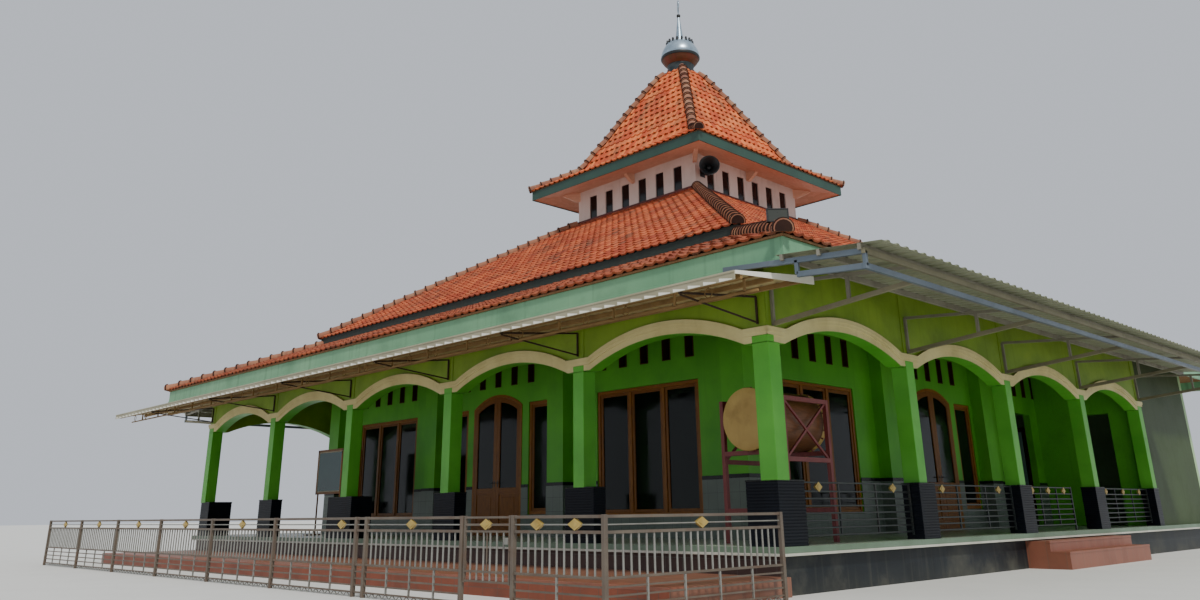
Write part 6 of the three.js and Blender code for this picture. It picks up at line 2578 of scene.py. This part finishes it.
    def mark(self, gold: Shape, x: float) -> None:
        """Adds one gold rhomb at a place along the fence."""
        middle = (self.thick_rails[0][0] + self.thick_rails[1][0]) / 2
        self.marks.add(gold, (x, self.line, middle), (1, 0, 0))

    def fittings(self, shape: Shape) -> None:
        """Adds the gate's hinge knuckles on its post and the strip that it closes against.

        Args:
            shape: What is added to.
        """
        x, out = self.hinge
        radius, height = self.knuckle
        reach, inset = self.knuckle_arm
        y = self.line + out
        for z in self.hinges:
            shape.rod((x, y, z - height), (x, y, z - HAIR), radius, 12)
            shape.box((x - reach, self.line + inset, z - height), (x, y, z - HAIR))
        low, high = ((a, self.line + b, c) for a, b, c in self.stop)
        shape.box(low, high)

    def side(self) -> None:
        """The run that returns to the building, drawn as a front one and turned."""
        posts, bars, gold = Shape(), Shape(), Shape()
        start = self.line + self.post / 2 + self.return_start
        end = -PLAN.half_y - self.return_end
        self.rails(posts, bars, start, end)
        self.stand(posts, end)
        self.panel(bars, start, end - self.post / 2)
        self.mark(gold, (start + end) / 2)
        there, back = Matrix.Translation((self.right, 0, 0)), Matrix.Translation((0, -self.line, 0))
        at = there @ Turn.RIGHT.matrix @ back
        posts.piece("fence_side_posts", Paint.FENCE_POST, replaces=["fence_return"], at=at)
        bars.piece("fence_side_bars", Paint.FENCE, replaces=["fence_return"], at=at)
        gold.piece("fence_side_diamond", Paint.GOLD, at=at)

    def gate_bars(self) -> None:
        """The gate's bars, gold mark and latch, which move with it."""
        bars, gold = Shape(), Shape()
        start, end = self.gate
        self.balusters(bars, start, end, self.gate_foot, self.thick_rails[1][0])
        self.mark(gold, self.gate_place)
        low, high = ((end + a, self.line + b, c) for a, b, c in self.latch)
        bars.box(low, high, BLUNT)
        bars.piece("gate_bars", Paint.FENCE, "gate")
        gold.piece("gate_diamond", Paint.GOLD, "gate")


@dataclass
class Drum:
    """The big drum: a hollowed log with a pegged hide at each end, on the frame's stand."""

    x: float = 7.87
    head: float = -8.23
    height: float = 1.61
    length: float = 1.33
    log: Outline = ((0.355, 0.02), (0.405, 0.02), (0.405, 0.09), (0.409, 0.3), (0.411, 0.665), (0.409, 1.03),
                    (0.405, 1.24), (0.405, 1.31), (0.355, 1.31))
    hide: Outline = ((0.0, 0.0), (0.2975, 0.002), (0.395, 0.003), (0.419, 0.012), (0.425, 0.03),
                     (0.411, 0.05), (0.412, 0.09))
    steps: int = 48
    pegs: int = 22
    peg: Outline = ((0.405, 0.075), (0.437, 0.063))
    peg_radii: Pair = (0.012, 0.01)

    def build(self) -> None:
        """Builds the log, the hides and the pegs."""
        log, hides, pegs = Shape(), Shape(), Shape()
        log.lathe(self.log, self.steps)
        for start, sign in ((0.0, 1), (self.length, -1)):
            hides.lathe([(r, start + sign * z) for r, z in self.hide], self.steps)
            for i in range(self.pegs):
                angle = math.tau * i / self.pegs
                x, y = math.cos(angle), math.sin(angle)
                foot, tip = ((r * x, r * y, start + sign * z) for r, z in self.peg)
                pegs.rod(foot, tip, self.peg_radii[0], 8, self.peg_radii[1])
        at = (Matrix.Translation((self.x, self.head, PLAN.up(self.height)))
              @ Matrix.Rotation(-math.pi / 2, 4, "X"))
        for shape, name, finish in ((log, "log", Paint.DRUM), (hides, "hides", Paint.HIDE),
                                    (pegs, "pegs", Paint.STAND)):
            shape.piece(f"drum_{name}", finish, replaces=["drum"], smooth=50, at=at)


@dataclass
class Board:
    """A standing board with a frame, on two legs."""

    name: str
    across: Range
    near: float
    heights: Range
    sheets: Sequence[Outline]
    frame_finish: Finish
    panel_finish: Finish
    border: float = 0.0
    thick: float = 0.03
    leg: float = 0.03
    foot: float = 0.225
    frame: float = 0.05
    panel_inset: float = 0.02
    panel_depth: Pair = (0.008, -0.004)
    border_lap: float = 0.002
    border_depth: Range = (0.004, 0.01)
    sheet_depth: Pair = (0.005, 0.004)

    def build(self) -> None:
        """Builds the frame with its legs, the border, the panel and its bare sheets."""
        (x0, x1), y = self.across, self.near
        z0, z1 = (PLAN.up(z) for z in self.heights)
        self.frame_and_legs(z0, z1)
        panel = Shape()
        inset, (proud, sunk) = self.panel_inset, self.panel_depth
        panel.box((x0 + inset, y + proud, z0 + inset), (x1 - inset, y + self.thick + sunk, z1 - inset))
        panel.piece(f"{self.name}_panel", self.panel_finish)
        if self.border:
            border = Shape()
            inner = self.frame - self.border_lap
            depth = (y + self.border_depth[0], y + self.border_depth[1])
            self.rim(border, (x0 + inner, x1 - inner), (z0 + inner, z1 - inner), self.border, depth)
            border.piece(f"{self.name}_border", Paint.LIP)
        if self.sheets:
            paper = Shape()
            proud, thick = self.sheet_depth
            for outline in self.sheets:
                corners = [(x0 + u * (x1 - x0), y + proud, z0 + v * (z1 - z0)) for u, v in outline]
                paper.prism(corners, (0, thick, 0))
            paper.piece(f"{self.name}_sheets", Paint.PAPER)

    def rim(self, shape: Shape, across: Range, heights: Range, width: float, depth: Range) -> None:
        """Adds four strips round a rectangle.

        Args:
            shape: What they are added to.
            across: The outer range along the board.
            heights: The outer range of heights over the ground.
            width: How wide the strips are.
            depth: Their range of depth.
        """
        (x0, x1), (z0, z1), (y0, y1) = across, heights, depth
        for low, high in (((x0, z0), (x0 + width, z1)), ((x1 - width, z0), (x1, z1)),
                          ((x0, z0), (x1, z0 + width)), ((x0, z1 - width), (x1, z1))):
            shape.box((low[0], y0, low[1]), (high[0], y1, high[1]), SOFT)

    def frame_and_legs(self, low: float, high: float) -> None:
        """The wooden frame, two legs behind it and their feet.

        Args:
            low: The frame's lower edge over the ground.
            high: Its upper edge over the ground.
        """
        shape = Shape()
        (x0, x1), y = self.across, self.near
        floor, leg = PLAN.floor, self.leg
        back = y + self.thick
        self.rim(shape, self.across, (low, high), self.frame, (y, back))
        for x in (x0 + leg, x1 - 2 * leg):
            shape.box((x, back, floor), (x + leg, back + leg, high - leg), SOFT)
            shape.box((x, y - self.foot, floor), (x + leg, y + self.foot, floor + leg), SOFT)
        shape.piece(f"{self.name}_frame", self.frame_finish, replaces=[self.name])


@dataclass
class Studio:
    """The floor, the light and the camera at the photograph's angle."""

    place: Point = (15.870, -18.731, 0.969)
    yaw: float = 45.86341
    pitch: float = 18.79684
    roll: float = -0.72371
    lens: float = 27.948
    sensor: float = 36.0
    shift: float = -0.087
    clip: float = 500.0
    floor: float = 400.0
    sun: float = 2.8
    sun_spread: float = 6.0
    sun_turn: Point = (40.0, 0.0, 62.0)
    sun_colour: Point = (1.0, 0.965, 0.9)
    sky: float = 0.72
    sky_colour: Point = (0.86, 0.91, 1.0)

    def build(self) -> None:
        """Sets the stage."""
        self.ground()
        self.lights()
        self.camera()

    def ground(self) -> None:
        """A wide pale floor."""
        mesh = bpy.data.meshes.new("studio_floor")
        bm = bmesh.new()
        bmesh.ops.create_grid(bm, x_segments=1, y_segments=1, size=self.floor / 2)
        bm.to_mesh(mesh)
        bm.free()
        made = bpy.data.objects.new("studio_floor", mesh)
        bpy.context.scene.collection.objects.link(made)
        mesh.materials.append(Paint.STUDIO.material())

    def lights(self) -> None:
        """A broad sun from the front right and a pale sky."""
        data = bpy.data.lights.new("sun", "SUN")
        data.energy = self.sun
        data.angle = math.radians(self.sun_spread)
        data.color = self.sun_colour
        sun = bpy.data.objects.new("sun", data)
        sun.rotation_euler = [math.radians(v) for v in self.sun_turn]
        bpy.context.scene.collection.objects.link(sun)
        world = bpy.data.worlds.new("sky")
        world.use_nodes = True
        back = world.node_tree.nodes["Background"]
        back.inputs["Color"].default_value = (*self.sky_colour, 1.0)
        back.inputs["Strength"].default_value = self.sky
        bpy.context.scene.world = world

    def camera(self) -> None:
        """The camera, where the photograph was taken from."""
        a, p, r = (math.radians(v) for v in (self.yaw, self.pitch, self.roll))
        ahead = Vector((-math.sin(a) * math.cos(p), math.cos(a) * math.cos(p), math.sin(p)))
        right = Vector((math.cos(a), math.sin(a), 0))
        up = right.cross(ahead)
        side = right * math.cos(r) + up * math.sin(r)
        top = up * math.cos(r) - right * math.sin(r)
        data = bpy.data.cameras.new("camera")
        data.lens = self.lens
        data.sensor_width = self.sensor
        data.shift_y = self.shift
        data.clip_end = self.clip
        made = bpy.data.objects.new("camera", data)
        turn = Matrix((side, top, -ahead)).transposed().to_4x4()
        made.matrix_world = Matrix.Translation(self.place) @ turn
        bpy.context.scene.collection.objects.link(made)
        bpy.context.scene.camera = made


def builders() -> list[object]:
    """Everything that gets built, from the ground up.

    Returns:
        The builders, in the order of their work.
    """
    posters = [((0.52, 0.05), (0.94, 0.05), (0.94, 0.85), (0.52, 0.85)),
               ((0.27, 0.52), (0.41, 0.5), (0.45, 0.86), (0.31, 0.88))]
    return [
        BaseTrim(),
        Arcades(),
        HallWalls(),
        AllWindows(),
        Doorway("front_door", Turn.FRONT, ("front_left_door", "front_right_door"), "front_door_frame",
                ("front_door_leaf_left", "front_door_leaf_right")),
        Doorway("side_door", Turn.RIGHT, ("side_front_door", "side_back_door"), "side_door_frame",
                ("side_door_leaf_front", "side_door_leaf_back")),
        FixedDoor(),
        Roofs(),
        Eaves(),
        Finial(),
        Loudspeaker(),
        Floodlight(),
        FrontCanopy(),
        SideCanopy("right", AS_DRAWN, front=-PLAN.half_y - 0.95),
        SideCanopy("left", MIRROR, front=PLAN.side_first),
        Railings(),
        Fence(),
        Drum(),
        Board("notice_board", across=(-5.35, -4.15), near=-7.6, heights=(0.9, 1.9), sheets=(),
              frame_finish=Paint.DOOR, panel_finish=Paint.BOARD, border=0.025),
        Board("poster_board", across=(-3.7, -2.9), near=-7.9, heights=(0.7, 1.8), sheets=posters,
              frame_finish=Paint.WOOD, panel_finish=Paint.BOARD_DARK),
    ]


def main() -> None:
    """Builds the whole object and its stage."""
    logging.basicConfig(level=logging.INFO, format="%(message)s")
    Studio().build()
    Dresser().build()
    for builder in builders():
        before = len(bpy.data.objects)
        builder.build()
        LOG.info("%s: %d pieces", type(builder).__name__, len(bpy.data.objects) - before)


if __name__ == "__main__":
    main()
